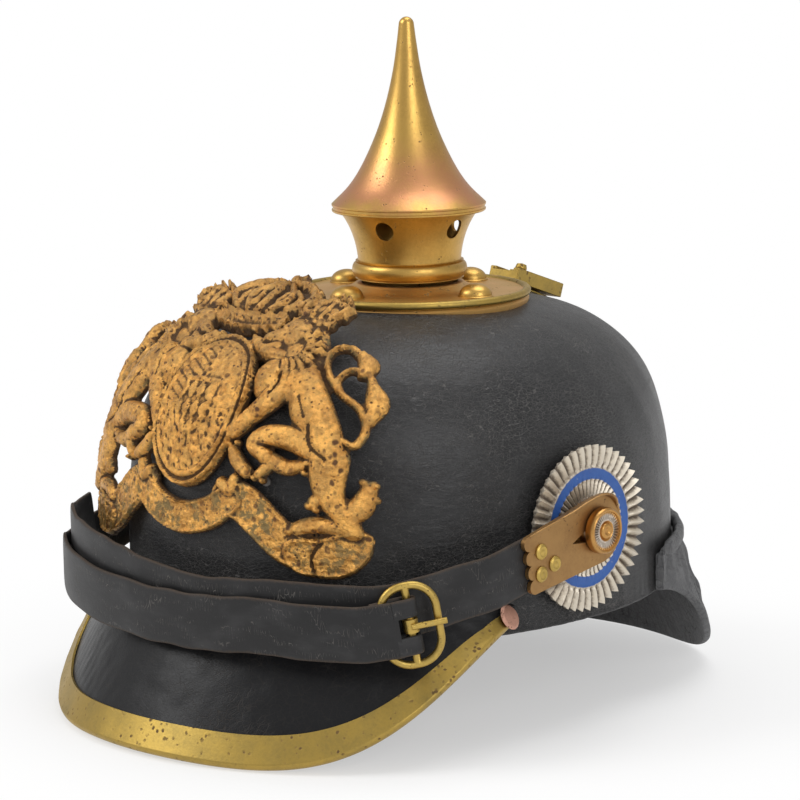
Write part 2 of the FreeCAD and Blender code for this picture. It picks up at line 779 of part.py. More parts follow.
def mirrored(points):
    """The same outline on the wearer's right."""
    return [(-x, y) for x, y in points]


SHIELD_Y = 64.5
shield = [(mm("shield_half_width") * math.cos(a), SHIELD_Y + mm("shield_half_height") * math.sin(a))
          for a in spread(0, 2 * math.pi, 33)[:-1]]
crown_half = [(0, 90), (13, 92), (16, 97), (20.5, 102), (18, 106), (10, 108.5), (4, 110), (0, 112)]
crown_points = crown_half + [(-x, y) for x, y in reversed(crown_half[1:-1])]
swag = [(26 * math.sin(a), 61 - 37.5 * math.cos(a)) for a in spread(-0.95, 0.95, 11)]
swag += [(20.5 * math.sin(a), 59 - 26.5 * math.cos(a)) for a in spread(0.95, -0.95, 11)]
ribbon = [(17, 43), (27, 44), (38, 38), (46, 32), (56, 35), (62, 39), (61, 31), (55, 20), (47, 18), (38, 22),
          (28, 29), (19, 31)]
beast = [(8, 89), (15, 93.5), (16, 102), (20, 107), (30, 106), (33, 101), (35, 94.5), (39, 89), (44, 83),
         (52, 74), (57, 64), (58, 52), (58, 46), (64, 53), (65, 45), (61, 36), (46, 31), (50, 38), (48, 50),
         (45, 54), (36, 49), (30, 49), (24, 56), (31, 64), (41, 66), (36, 71), (32, 68), (21, 56), (16, 60),
         (21, 67), (19, 78), (20, 85)]
tail = [(54, 64.5), (59, 63), (62, 70), (58, 77), (51, 81), (45, 85), (40.5, 89), (41, 91.5), (45, 92),
        (49, 89), (52, 84.5), (57, 87.5), (56, 90.5), (50, 93.5), (43, 94.5), (37.5, 92.5), (37, 87.5),
        (43, 83), (49, 78.5), (56, 74.5), (58.5, 70), (57.5, 66)]
slabs = [badge_slab("shield_slab", shield), badge_slab("crown_slab", crown_points)]
slabs.append(badge_slab("swag_slab", swag))
for name, points in (("ribbon", ribbon), ("beast", beast), ("tail", tail)):
    slabs.append(badge_slab(f"{name}_left_slab", points))
    slabs.append(badge_slab(f"{name}_right_slab", mirrored(points)))
badge_outer = dome_solid("badge_outer", size("badge_gap") + size("badge_sheet"))
badge_inner = dome_solid("badge_inner", size("badge_gap"))
badge_layer = cut("badge_layer", badge_outer, badge_inner)
keep(common("front_plate_cut", badge_layer, fuse("badge_slabs", slabs)), "front_plate")

badge_post = turned("badge_post_body", [
    (0, 0 - size("shell_wall") - 4.0), (size("shank_radius"), 0 - size("shell_wall") - 4.0),
    (size("shank_radius"), size("badge_gap") - 0.05), (0, size("badge_gap") - 0.05)])
copies(badge_post, [aim(spot, dome_normal(spot)) for spot in badge_spots], "plate_posts")
nut_top = 0 - size("shell_wall") - 0.3
nut_body = turned("badge_nut_body", [
    (shank_hole, nut_top - 2.2), (4.2, nut_top - 2.2), (4.2, nut_top), (shank_hole, nut_top)])
nut_spots = [*badge_spots, spine_spot]
copies(nut_body, [aim(spot, dome_normal(spot)) for spot in nut_spots], "plate_nuts")


# ---------------------------------------------------------------- cockades and posts
def side_place(side):
    """Placement of a side fitting: its own X axis points out of that side."""
    return Placement(post_at, Rotation(Vector(0, 0, 1), 0 if side > 0 else 180))


shell_x = size("shell_half_width")
cockade_back = shell_x + size("seat_gap")
cockade_face = cockade_back + size("cockade_sheet")
cock_r = size("cockade_radius")
bore = size("post_radius") + size("post_clearance")


def star_prism(radius, dip, count, start, length):
    """A toothed prism along X: the radius runs in and out once for each flute."""
    ring = []
    for index in range(2 * count):
        reach = radius - (dip if index % 2 else 0)
        angle = math.pi * index / count
        ring.append(Vector(start, reach * math.cos(angle), reach * math.sin(angle)))
    return Part.Face(Part.makePolygon([*ring, ring[0]])).extrude(Vector(length, 0, 0))


LABELS = {1: "left", -1: "right"}
lug_back = cockade_face + size("collar_length")
lug_face = lug_back + size("lug_sheet")
head_back = lug_face + size("end_play")
head_face = head_back + size("post_head_length")
for side, word in LABELS.items():
    disc = turned(f"{word}_cockade_disc", [
        (cockade_back, bore), (cockade_back, cock_r), (cockade_face + 0.3, cock_r),
        (cockade_face + 0.9, cock_r * 0.87), (cockade_face, cock_r * 0.75), (cockade_face, cock_r * 0.62),
        (cockade_face + 0.6, cock_r * 0.5), (cockade_face, cock_r * 0.4), (cockade_face, bore)],
        axis="H_Axis")
    flutes = int(mm("cockade_flutes"))
    teeth = star_prism(cock_r.value, mm("cockade_scallop"), flutes, cockade_back.value - 1, 8)
    cockade = common(f"{word}_cockade_cut", disc, feature(teeth, f"{word}_cockade_teeth"))
    cockade.Placement = side_place(side)
    keep(cockade, f"{word}_cockade")

    post_r = size("post_radius")
    post = turned(f"{word}_post_body", [
        (shell_x - size("shell_wall") - 4.6, 0), (shell_x - size("shell_wall") - 4.6, post_r),
        (cockade_face, post_r), (cockade_face, size("collar_radius")),
        (lug_back - 0.1, size("collar_radius")),
        (lug_back - 0.1, post_r), (head_back, post_r), (head_back, size("post_head_radius")),
        (head_face - 1.2, size("post_head_radius")), (head_face - 0.4, size("post_head_radius") - 0.9),
        (head_face - 1.0, size("post_head_radius") * 0.72),
        (head_face - 0.2, size("post_head_radius") * 0.45),
        (head_face, 0)], axis="H_Axis")
    post.Placement = side_place(side)
    keep(post, f"{word}_post")

post_nut = turned("post_nut_body", [
    (shell_x - size("shell_wall") - 4.2, bore), (shell_x - size("shell_wall") - 4.2, 9.5),
    (shell_x - size("shell_wall") - 1.2, 9.5), (shell_x - size("shell_wall") - 1.2, bore)], axis="H_Axis")
copies(post_nut, [side_place(1), side_place(-1)], "post_nuts")

# ---------------------------------------------------------------- chin strap
strap_fall = math.atan2(mm("strap_drop"), mm("strap_reach"))


def strap_point(turn):
    """Middle line of the stowed strap; turn runs from -90 to 90 degrees, right to left."""
    swing = math.radians(turn)
    x = mm("strap_half_span") * math.sin(swing) + mm("strap_bulge") * math.sin(2 * swing)
    ahead = mm("strap_reach") * abs(math.cos(swing)) ** 0.74
    return post_at + Vector(x, -ahead, -mm("strap_drop") * ahead / mm("strap_reach"))


def strap_frame(turn):
    """Point, forward direction, outward direction and across direction of the strap."""
    step = 0.5
    along = (strap_point(turn + step) - strap_point(turn - step)).normalize()
    out = Vector(0, 0, 1).cross(along).normalize() * -1
    across = out.cross(along).normalize()
    return strap_point(turn), along, out, across


def band(turns, offset_of, lift_of=None):
    """A leather band along the strap line, moved outward by offset_of(turn) and up by lift_of(turn)."""
    half_w, half_t = mm("strap_width") / 2, mm("strap_sheet") / 2
    rings = []
    for turn in turns:
        point, along, out, across = strap_frame(turn)
        mid = point + out * offset_of(turn)
        if lift_of:
            mid = mid + across * lift_of(turn)
        rings.append([mid + across * (sw * half_w) + out * (st * half_t)
                      for sw, st in ((-1, -1), (1, -1), (1, 1), (-1, 1))])
    return lofted(rings)


def ease(value):
    """A smooth step from 0 to 1."""
    value = min(max(value, 0.0), 1.0)
    return value * value * (3 - 2 * value)


strap_plane = (lug_back - size("strap_sheet") / 2 - 0.2).value
LUG_TURN = 82.5
LUG_FLAT = 76.0
LUG_BLEND = 60.0


def to_lug(turn):
    """Offset that brings the strap's end under the lug."""
    point, along, out, across = strap_frame(turn)
    return (strap_plane - abs(point.x)) / abs(out.x)


def nearness(turn):
    """1 beside the buckle's bar, fading to 0 away from it."""
    return ease(1.6 * (1 - abs(turn - buckle_turn) / 26))


layer = mm("strap_layer_gap") / 2
buckle_turn = mm("buckle_angle")


def inner_offset(turn):
    """The tongue lies inside; near the lug it comes to the lug's plane."""
    blend = ease((turn - LUG_BLEND) / (LUG_FLAT - LUG_BLEND))
    return -(layer + mm("fold_room") * nearness(turn)) * (1 - blend) + to_lug(turn) * blend


def inner_lift(turn):
    """The tongue rides a little higher than the band round the front, and level with it at the buckle."""
    return mm("strap_stagger") * (1 - ease((turn - 22) / 30))


def outer_offset(turn):
    """The buckled strap lies outside; on the right it comes to the lug's plane."""
    blend = ease((-turn - LUG_BLEND) / (LUG_FLAT - LUG_BLEND))
    return (layer + 1.0 * nearness(turn)) * (1 - blend) + to_lug(turn) * blend


def outer_lift(turn):
    """The buckled strap hangs a little lower from the front round to its buckle."""
    return -mm("strap_sag") * ease((turn - 20) / 25)


tongue_turns = spread(-60, 60, 22) + spread(64, LUG_TURN, 7)
keep(feature(band(tongue_turns, inner_offset, inner_lift), "left_strap"), "left_strap")

# the buckle's bar sits in a fold at the outer strap's left end
point, along, out, across = strap_frame(buckle_turn)
bar_r = mm("buckle_wire")
fold_bore = bar_r + mm("hole_clearance")
fold_r = fold_bore + mm("strap_sheet")
bar_offset = outer_offset(buckle_turn) - mm("strap_sheet") / 2 - fold_bore
bar_at = point + out * bar_offset + across * outer_lift(buckle_turn)
outer_turns = [-turn for turn in reversed(spread(64, LUG_TURN, 7))] + spread(-60, buckle_turn, 19)
outer_band = band(outer_turns, outer_offset, outer_lift)
half_width = mm("strap_width") / 2
fold = Part.makeCylinder(fold_r, 2 * half_width, bar_at - across * half_width, across)
outer_strap = outer_band.fuse(fold)
fold_hole = Part.makeCylinder(fold_bore, 3 * half_width, bar_at - across * 1.5 * half_width, across)
outer_strap = outer_strap.cut(fold_hole)
slot_half = mm("prong_slot") / 2
slot_back = fold_r + 1.6
slot = Part.makeBox(slot_back + fold_r + 2, 2 * fold_r + 2, 2 * slot_half)
slot.Placement = Placement(Vector(), Rotation(along, out, across)).multiply(
    Placement(Vector(-slot_back, -fold_r - 1, -slot_half), Rotation()))
slot.Placement.Base = slot.Placement.Base + bar_at
outer_strap = outer_strap.cut(slot)
keep(feature(outer_strap, "right_strap"), "right_strap")

# buckle: a rounded frame of round wire with its middle bar in the fold
half_high = (mm("buckle_height") - 2 * bar_r) / 2
deep = mm("buckle_width") / 2 - bar_r
corner = 0.9 * deep
bend = corner * (1 - math.sqrt(0.5))
tilt = math.radians(mm("buckle_tilt"))
lay = along * math.cos(tilt) + out * math.sin(tilt)
rise = out * math.cos(tilt) - along * math.sin(tilt)


def on_buckle(s, w):
    """A point of the buckle's plane: s along the strap, w across it."""
    return bar_at + lay * s + across * w


frame_edges = []
for way in (1, -1):
    side_end, corner_end = way * (half_high - corner), way * (deep - corner)
    frame_edges += [
        Part.makeLine(on_buckle(way * deep, -side_end), on_buckle(way * deep, side_end)),
        Part.Arc(on_buckle(way * deep, side_end), on_buckle(way * (deep - bend), way * (half_high - bend)),
                 on_buckle(corner_end, way * half_high)).toShape(),
        Part.makeLine(on_buckle(corner_end, way * half_high), on_buckle(-corner_end, way * half_high)),
        Part.Arc(on_buckle(-corner_end, way * half_high),
                 on_buckle(way * (bend - deep), way * (half_high - bend)),
                 on_buckle(-way * deep, side_end)).toShape(),
    ]
section = Part.Wire(Part.makeCircle(bar_r, on_buckle(deep, corner - half_high), across))
buckle_shape = Part.Wire(frame_edges).makePipeShell([section], True, False)
middle_bar = Part.makeCylinder(bar_r, 2 * half_high, bar_at - across * half_high, across)
keep(feature(buckle_shape.fuse(middle_bar), "left_buckle"), "left_buckle")

# prong: a ring on the bar and a tongue that rests on the frame's far side
prong_ring = Part.makeCylinder(bar_r + 1.3, 2 * slot_half - 1.2, bar_at - across * (slot_half - 0.6), across)
prong_rest = bar_r + mm("prong_radius") + 0.3
prong_start = bar_at + rise * prong_rest
prong_bar = Part.makeCylinder(mm("prong_radius"), deep + 2.6, prong_start, lay)
prong_shape = prong_ring.fuse(prong_bar)
prong_shape = prong_shape.cut(Part.makeCylinder(bar_r + 0.08, 12, bar_at - across * 6, across))
keep(feature(prong_shape, "buckle_prong"), "buckle_prong")

# ---------------------------------------------------------------- strap lugs
lug_pitch = -math.degrees(strap_fall)
LUG_RIVETS = ((25.5, 3.4), (33.0, 4.6), (31.5, -3.4))


def lug_outline(thickness):
    """The lug, in a frame with X along the strap and the post at the origin."""
    r, half, length = mm("lug_radius"), mm("lug_half_width"), mm("lug_length")
    straight = length - 2.2
    ring = Part.makeCylinder(r, thickness)
    flank = Part.makePolygon([Vector(0, r, 0), Vector(straight, half, 0), Vector(straight, -half, 0),
                              Vector(0, -r, 0), Vector(0, r, 0)])
    body = ring.fuse(Part.Face(flank).extrude(Vector(0, 0, thickness)))
    lobes = 4
    lobe_r = half / lobes
    for index in range(lobes):
        lobe = Part.makeCylinder(lobe_r, thickness, Vector(straight, half - lobe_r * (2 * index + 1), 0))
        body = body.fuse(lobe)
    hole = Part.makeCylinder(mm("post_radius") + mm("post_clearance"), thickness)
    hole_r = mm("post_radius") * 0.72
    notch = Part.makePolygon([Vector(0, hole_r, 0), Vector(mm("lug_notch"), 0, 0), Vector(0, -hole_r, 0),
                              Vector(0, hole_r, 0)])
    body = body.cut(hole.fuse(Part.Face(notch).extrude(Vector(0, 0, thickness))))
    for along_lug, aside in LUG_RIVETS:
        body = body.cut(Part.makeCylinder(mm("shank_radius"), thickness, Vector(along_lug, aside, 0)))
    return body.removeSplitter()


def lug_place(side):
    """Placement of a lug: its plane stands off the side, its X axis runs with the strap."""
    along_strap = Vector(0, -math.cos(strap_fall), -math.sin(strap_fall))
    facing = Vector(side, 0, 0)
    turn = Rotation(along_strap, facing.cross(along_strap), facing)
    return Placement(post_at + facing * lug_back.value, turn)


lug_shape = lug_outline(mm("lug_sheet"))
lug_rivet = turned("lug_rivet_body", [
    (0, 0.2 - size("strap_sheet")), (size("shank_radius") - 0.05, 0.2 - size("strap_sheet")),
    (size("shank_radius") - 0.05, size("lug_sheet")), (size("lug_rivet_radius"), size("lug_sheet")),
    (size("lug_rivet_radius") * 0.75, size("lug_sheet") + 0.7), (0, size("lug_sheet") + 1.1)])
doc.recompute()
for side, word in LABELS.items():
    lug = lug_shape.copy()
    lug.Placement = lug_place(side)
    keep(feature(lug, f"{word}_lug"), f"{word}_lug")
    rivet_places = [lug_place(side).multiply(Placement(Vector(a, b, 0), Rotation())) for a, b in LUG_RIVETS]
    copies(lug_rivet, rivet_places, f"{word}_lug_rivets")

# holes for the lug rivets in the strap ends
for piece in [p for p in pieces if p.Label in ("left_strap", "right_strap")]:
    side = 1 if piece.Label == "left_strap" else -1
    shape = piece.Shape
    for a, b in LUG_RIVETS:
        start = lug_place(side).multVec(Vector(a, b, -6))
        shape = shape.cut(Part.makeCylinder(mm("shank_radius"), 12, start, Vector(side, 0, 0)))
    piece.Shape = shape

# ---------------------------------------------------------------- liner
band_foot = size("shell_base") + 1.0


def oval_tube(name, offset, start, height):
    """A solid oval column that follows the shell's base at an offset."""
    oval = doc.addObject("Part::Ellipse", f"{name}_oval")
    oval.setExpression("MajorRadius", text_of(size("shell_half_length") + offset))
    oval.setExpression("MinorRadius", text_of(size("shell_half_width") + offset))
    oval.Placement = Placement(Vector(0, 0, 0), Rotation(Vector(0, 0, 1), 90))
    oval.setExpression("Placement.Base.y", text_of(0 - size("shell_forward")))
    oval.setExpression("Placement.Base.z", text_of(start))
    column = doc.addObject("Part::Extrusion", name)
    column.Base = oval
    column.Dir = Vector(0, 0, 1)
    column.DirMode = "Custom"
    column.setExpression("LengthFwd", text_of(height))
    column.Solid = True
    return column


liner_out = 0 - size("liner_stand")
liner_in = liner_out - size("band_sheet")
outer_column = oval_tube("band_outer", liner_out, band_foot, size("band_height") - 14.0)
inner_column = oval_tube("band_inner", liner_in, band_foot - 1.0, size("band_height") - 12.0)
keep(cut("sweatband_cut", outer_column, inner_column), "sweatband")

tongue_foot = band_foot + size("band_height") - 14.0
tongue_outer = dome_solid("tongue_outer", liner_out)
tongue_layer = cut("tongue_layer", tongue_outer, dome_solid("tongue_inner", liner_in, 2.0))
doc.recompute()
layer_shape = tongue_layer.Shape
slots = []
for index in range(int(mm("tongue_count"))):
    bearing = math.radians(360 * (index + 0.5) / int(mm("tongue_count")))
    wedge = Part.makeBox(200, mm("tongue_gap"), 200, Vector(0, -mm("tongue_gap") / 2, tongue_foot.value + 6))
    wedge.rotate(Vector(), Vector(0, 0, 1), math.degrees(bearing))
    wedge.translate(MID)
    slots.append(wedge)
opening_radius = mm("liner_opening_share") * mm("shell_half_width")
crown_opening = Part.makeCylinder(opening_radius, 400, Vector(MID.x, MID.y, -100))
below = Part.makeBox(400, 400, tongue_foot.value + 100, Vector(-200, -200, -100))
tongues = layer_shape.cut([*slots, crown_opening, below])
keep(feature(tongues, "liner_tongues"), "liner_tongues")


def stand_on_ground():
    """The lean in radians that puts both visors on one level."""
    shares = spread(-0.9, 0.9, 91)
    below = mm("trim_gap") + mm("trim_sheet")
    front = [front_frame(q)[2] + front_frame(q)[3] * below for q in shares]
    rear = [rear_frame(q)[2] for q in shares]
    low, high = -0.2, 0.2
    for step in range(60):
        lean = (low + high) / 2
        rise = [min(p.z * math.cos(lean) + p.y * math.sin(lean) for p in edge) for edge in (front, rear)]
        if rise[0] > rise[1]:
            low = lean
        else:
            high = lean
    return lean


doc.recompute()
lean = stand_on_ground()
leaned = Placement(Vector(), Rotation(Vector(1, 0, 0), math.degrees(lean)))
boxes = []
for piece in pieces:
    shape = piece.Shape.copy()
    shape.Placement = leaned.multiply(shape.Placement)
    boxes.append(shape.optimalBoundingBox(False, False))
middle = (min(b.YMin for b in boxes) + max(b.YMax for b in boxes)) / 2
lowest = min(b.ZMin for b in boxes)
stand = Placement(Vector(0, -middle, -lowest), leaned.Rotation)
for piece in pieces:
    piece.Placement = stand.multiply(piece.Placement)
doc.recompute()

faults = [o.Name for o in doc.Objects if {"Invalid", "Error"} & set(o.State)]
faults += [p.Label for p in pieces if p.Shape.isNull() or not p.Shape.isValid() or not p.Shape.Solids]
if faults:
    raise RuntimeError(f"not built: {faults}")
os.makedirs("parts", exist_ok=True)
for piece in pieces:
    piece.Shape.exportStep(os.path.join("parts", f"{piece.Label}.step"))
print(f"lean {math.degrees(lean):.3f} degrees, moved {-middle:.3f} and {-lowest:.3f} mm, "
      f"vent slope {vent_slope:.3f} degrees, {len(pieces)} sub-parts")
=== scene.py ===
"""Looks of a spiked leather parade helmet that stands on its two visors.

Every form is worked out in the helmet's own frame in millimetres (the spike's axis is
Z, the front visor points along -Y, the wearer's left is +X) and then placed on the
ground by Stance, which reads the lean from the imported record's joints.
"""
import json
import logging
import math
from dataclasses import dataclass, field
from enum import Enum
from typing import Iterable, Optional, Sequence, Union

import bmesh
import bpy
import numpy as np
from mathutils import Matrix


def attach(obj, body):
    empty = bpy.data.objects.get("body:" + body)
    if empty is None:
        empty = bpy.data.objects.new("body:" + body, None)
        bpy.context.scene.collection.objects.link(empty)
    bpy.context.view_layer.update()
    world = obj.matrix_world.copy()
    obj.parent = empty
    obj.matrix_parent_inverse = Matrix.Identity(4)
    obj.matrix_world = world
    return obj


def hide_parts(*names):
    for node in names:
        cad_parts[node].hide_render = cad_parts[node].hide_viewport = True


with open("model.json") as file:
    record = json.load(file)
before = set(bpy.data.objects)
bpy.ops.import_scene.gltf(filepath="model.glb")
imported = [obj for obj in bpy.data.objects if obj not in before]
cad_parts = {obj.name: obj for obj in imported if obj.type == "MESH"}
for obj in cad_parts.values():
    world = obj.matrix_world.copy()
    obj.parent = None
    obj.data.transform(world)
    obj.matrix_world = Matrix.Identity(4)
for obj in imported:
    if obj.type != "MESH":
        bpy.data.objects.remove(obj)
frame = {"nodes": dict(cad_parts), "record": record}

LOG = logging.getLogger("helmet")
Colour = tuple[float, float, float]
Array = np.ndarray


class Body(Enum):
    """The moving bodies of the part."""

    HELMET = "helmet"
    CHINSTRAP = "chinstrap"
    PRONG = "prong"
    VENT_COVER = "vent_cover"


class Form(Enum):
    """How a stroke of the stamped plate rises across its width."""

    ROUND = "round"
    FLAT = "flat"
    RIM = "rim"
    GROOVE = "groove"


class Side(Enum):
    """The wearer's side that a fitting sits on."""

    LEFT = 1
    RIGHT = -1


# ---------------------------------------------------------------- plain numbers
def ease(value: Array) -> Array:
    """A smooth step: 3v^2 - 2v^3 of the value held between 0 and 1."""
    held = np.clip(value, 0.0, 1.0)
    return held * held * (3 - 2 * held)


def unit(vectors: Array) -> Array:
    """The vectors divided by their own lengths."""
    return vectors / np.linalg.norm(vectors, axis=-1, keepdims=True)


def ripple(points: Array, size: float, seed: int) -> Array:
    """Smooth irregular waves between about -1 and 1: a sum of nine sines along fixed directions.

    Args:
        points: positions in millimetres, last axis of length three.
        size: the length of the main wave in millimetres.
        seed: picks the directions and phases.

    Returns:
        One number for each position.
    """
    dice = np.random.default_rng(seed)
    total = np.zeros(points.shape[:-1])
    for _ in range(9):
        way = unit(dice.normal(size=3)) * (2 * np.pi / size) * dice.uniform(0.6, 1.9)
        total += np.sin(points @ way + dice.uniform(0, 2 * np.pi))
    return total / 4.0


def smooth_line(points: Sequence[Sequence[float]], per_span: int = 6) -> Array:
    """A Catmull-Rom curve through points: each span is the usual cubic of its four neighbours.

    Args:
        points: the points passed through, of any dimension.
        per_span: how many samples each span gets.

    Returns:
        The sampled curve, with both end points.
    """
    knots = np.asarray(points, float)
    padded = np.vstack([2 * knots[0] - knots[1], knots, 2 * knots[-1] - knots[-2]])
    a, b, c, d = padded[:-3], padded[1:-2], padded[2:-1], padded[3:]
    t = (np.arange(per_span) / per_span)[None, :, None]
    a, b, c, d = (k[:, None, :] for k in (a, b, c, d))
    curve = 0.5 * (2 * b + (c - a) * t + (2 * a - 5 * b + 4 * c - d) * t**2 + (3 * b - a - 3 * c + d) * t**3)
    return np.vstack([curve.reshape(-1, knots.shape[1]), knots[-1:]])


@dataclass(frozen=True)
class Stance:
    """How the helmet's own frame stands in the part's frame."""

    lean: float
    ahead: float
    lift: float

    @classmethod
    def from_record(cls, record: dict) -> "Stance":
        """Reads the lean from the vent's slope and the move from the strap's pivot.

        Args:
            record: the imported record.

        Returns:
            The stance.
        """
        joints = {joint["name"]: joint for joint in record["behaviour"]["joints"]}
        along = joints["vent_slide"]["axis"]
        normal = DOME.normal(DOME.top(0.0, VENT_SHARE * DOME.half_length))
        lean = math.atan2(normal[1], normal[2]) - math.atan2(-along[2], along[1])
        pivot = [1000 * c for c in joints["chinstrap_swing"]["pos_m"]]
        y, z = -POST_AHEAD, POST_HEIGHT
        return cls(lean, pivot[1] - (y * math.cos(lean) - z * math.sin(lean)),
                   pivot[2] - (y * math.sin(lean) + z * math.cos(lean)))

    def place(self, points: Array) -> Array:
        """Helmet millimetres turned about X by the lean, moved, and given in metres."""
        x, y, z = np.moveaxis(np.asarray(points, float), -1, 0)
        c, s = math.cos(self.lean), math.sin(self.lean)
        return np.stack([x, y * c - z * s + self.ahead, y * s + z * c + self.lift], -1) / 1000

    def turn(self, vector: Array) -> Array:
        """A direction turned about X by the lean."""
        return (self.place(vector) - self.place(np.zeros(3))) * 1000


VENT_SHARE = 0.575
POST_AHEAD = 9.0
POST_HEIGHT = 76.0


@dataclass(frozen=True)
class Dome:
    """The leather dome as a formula: ovals shrinking by (1 - t^4)^(1/3) with height."""

    half_width: float = 95.0
    half_length: float = 113.0
    forward: float = 5.0
    base: float = 43.0
    rise: float = 110.0

    @property
    def crown(self) -> float:
        """Height of the dome's top."""
        return self.base + self.rise

    def share(self, height: Array) -> Array:
        """Share of the base oval left at a height."""
        level = np.clip((np.asarray(height, float) - self.base) / self.rise, 0.0, 1.0)
        return np.cbrt(1 - level**4)

    def reach(self, bearing: Array, height: Array) -> Array:
        """Distance from the middle to the dome: 1 / hypot(sin / half width, cos / half length)."""
        left = self.share(height)
        return left / np.hypot(np.sin(bearing) / self.half_width, np.cos(bearing) / self.half_length)

    def point(self, turn: Array, height: Array, offset: float = 0.0) -> Array:
        """The dome's point at an oval parameter from -Y towards +X, pushed out by an offset."""
        left = self.share(height)
        x = (self.half_width + offset) * left * np.sin(turn)
        y = -self.forward - (self.half_length + offset) * left * np.cos(turn)
        return np.stack(np.broadcast_arrays(x, y, height), -1)

    def normal(self, points: Array) -> Array:
        """Outward unit normals: the slope of (x/a)^2 + (y/b)^2 = (1 - t^4)^(2/3)."""
        level = np.clip((points[..., 2] - self.base) / self.rise, 0.0, 0.999)
        steep = (4 / 3) * level**3 / (self.rise * np.cbrt(1 - level**4))
        x = points[..., 0] / self.half_width**2
        y = (points[..., 1] + self.forward) / self.half_length**2
        return unit(np.stack([x, y, steep], -1))

    def top(self, x: Array, y: Array) -> Array:
        """The dome's point straight above x and y."""
        left = np.hypot(np.asarray(x) / self.half_width, (np.asarray(y) + self.forward) / self.half_length)
        level = np.clip(1 - left**3, 0, 1) ** 0.25
        return np.stack(np.broadcast_arrays(x, y, self.base + self.rise * level), -1)


DOME = Dome()


# ---------------------------------------------------------------- shader writing
class Sock:
    """A shader socket that takes part in Python arithmetic through Math nodes."""

    def __init__(self, tree: "Tree", out: bpy.types.NodeSocket) -> None:
        """Keeps the tree and the socket."""
        self.tree = tree
        self.out = out

    def _math(self, operation: str, first: "Value", second: "Value" = 0.0) -> "Sock":
        """One Math node with the clamp off."""
        return self.tree.node("ShaderNodeMath", {"operation": operation}, {0: first, 1: second})

    def __add__(self, other: "Value") -> "Sock":
        """self + other."""
        return self._math("ADD", self, other)

    __radd__ = __add__

    def __sub__(self, other: "Value") -> "Sock":
        """self - other."""
        return self._math("SUBTRACT", self, other)

    def __rsub__(self, other: "Value") -> "Sock":
        """other - self."""
        return self._math("SUBTRACT", other, self)

    def __mul__(self, other: "Value") -> "Sock":
        """self * other."""
        return self._math("MULTIPLY", self, other)

    __rmul__ = __mul__

    def peak(self, other: "Value") -> "Sock":
        """The larger of the two."""
        return self._math("MAXIMUM", self, other)


Value = Union[Sock, float, Sequence[float]]


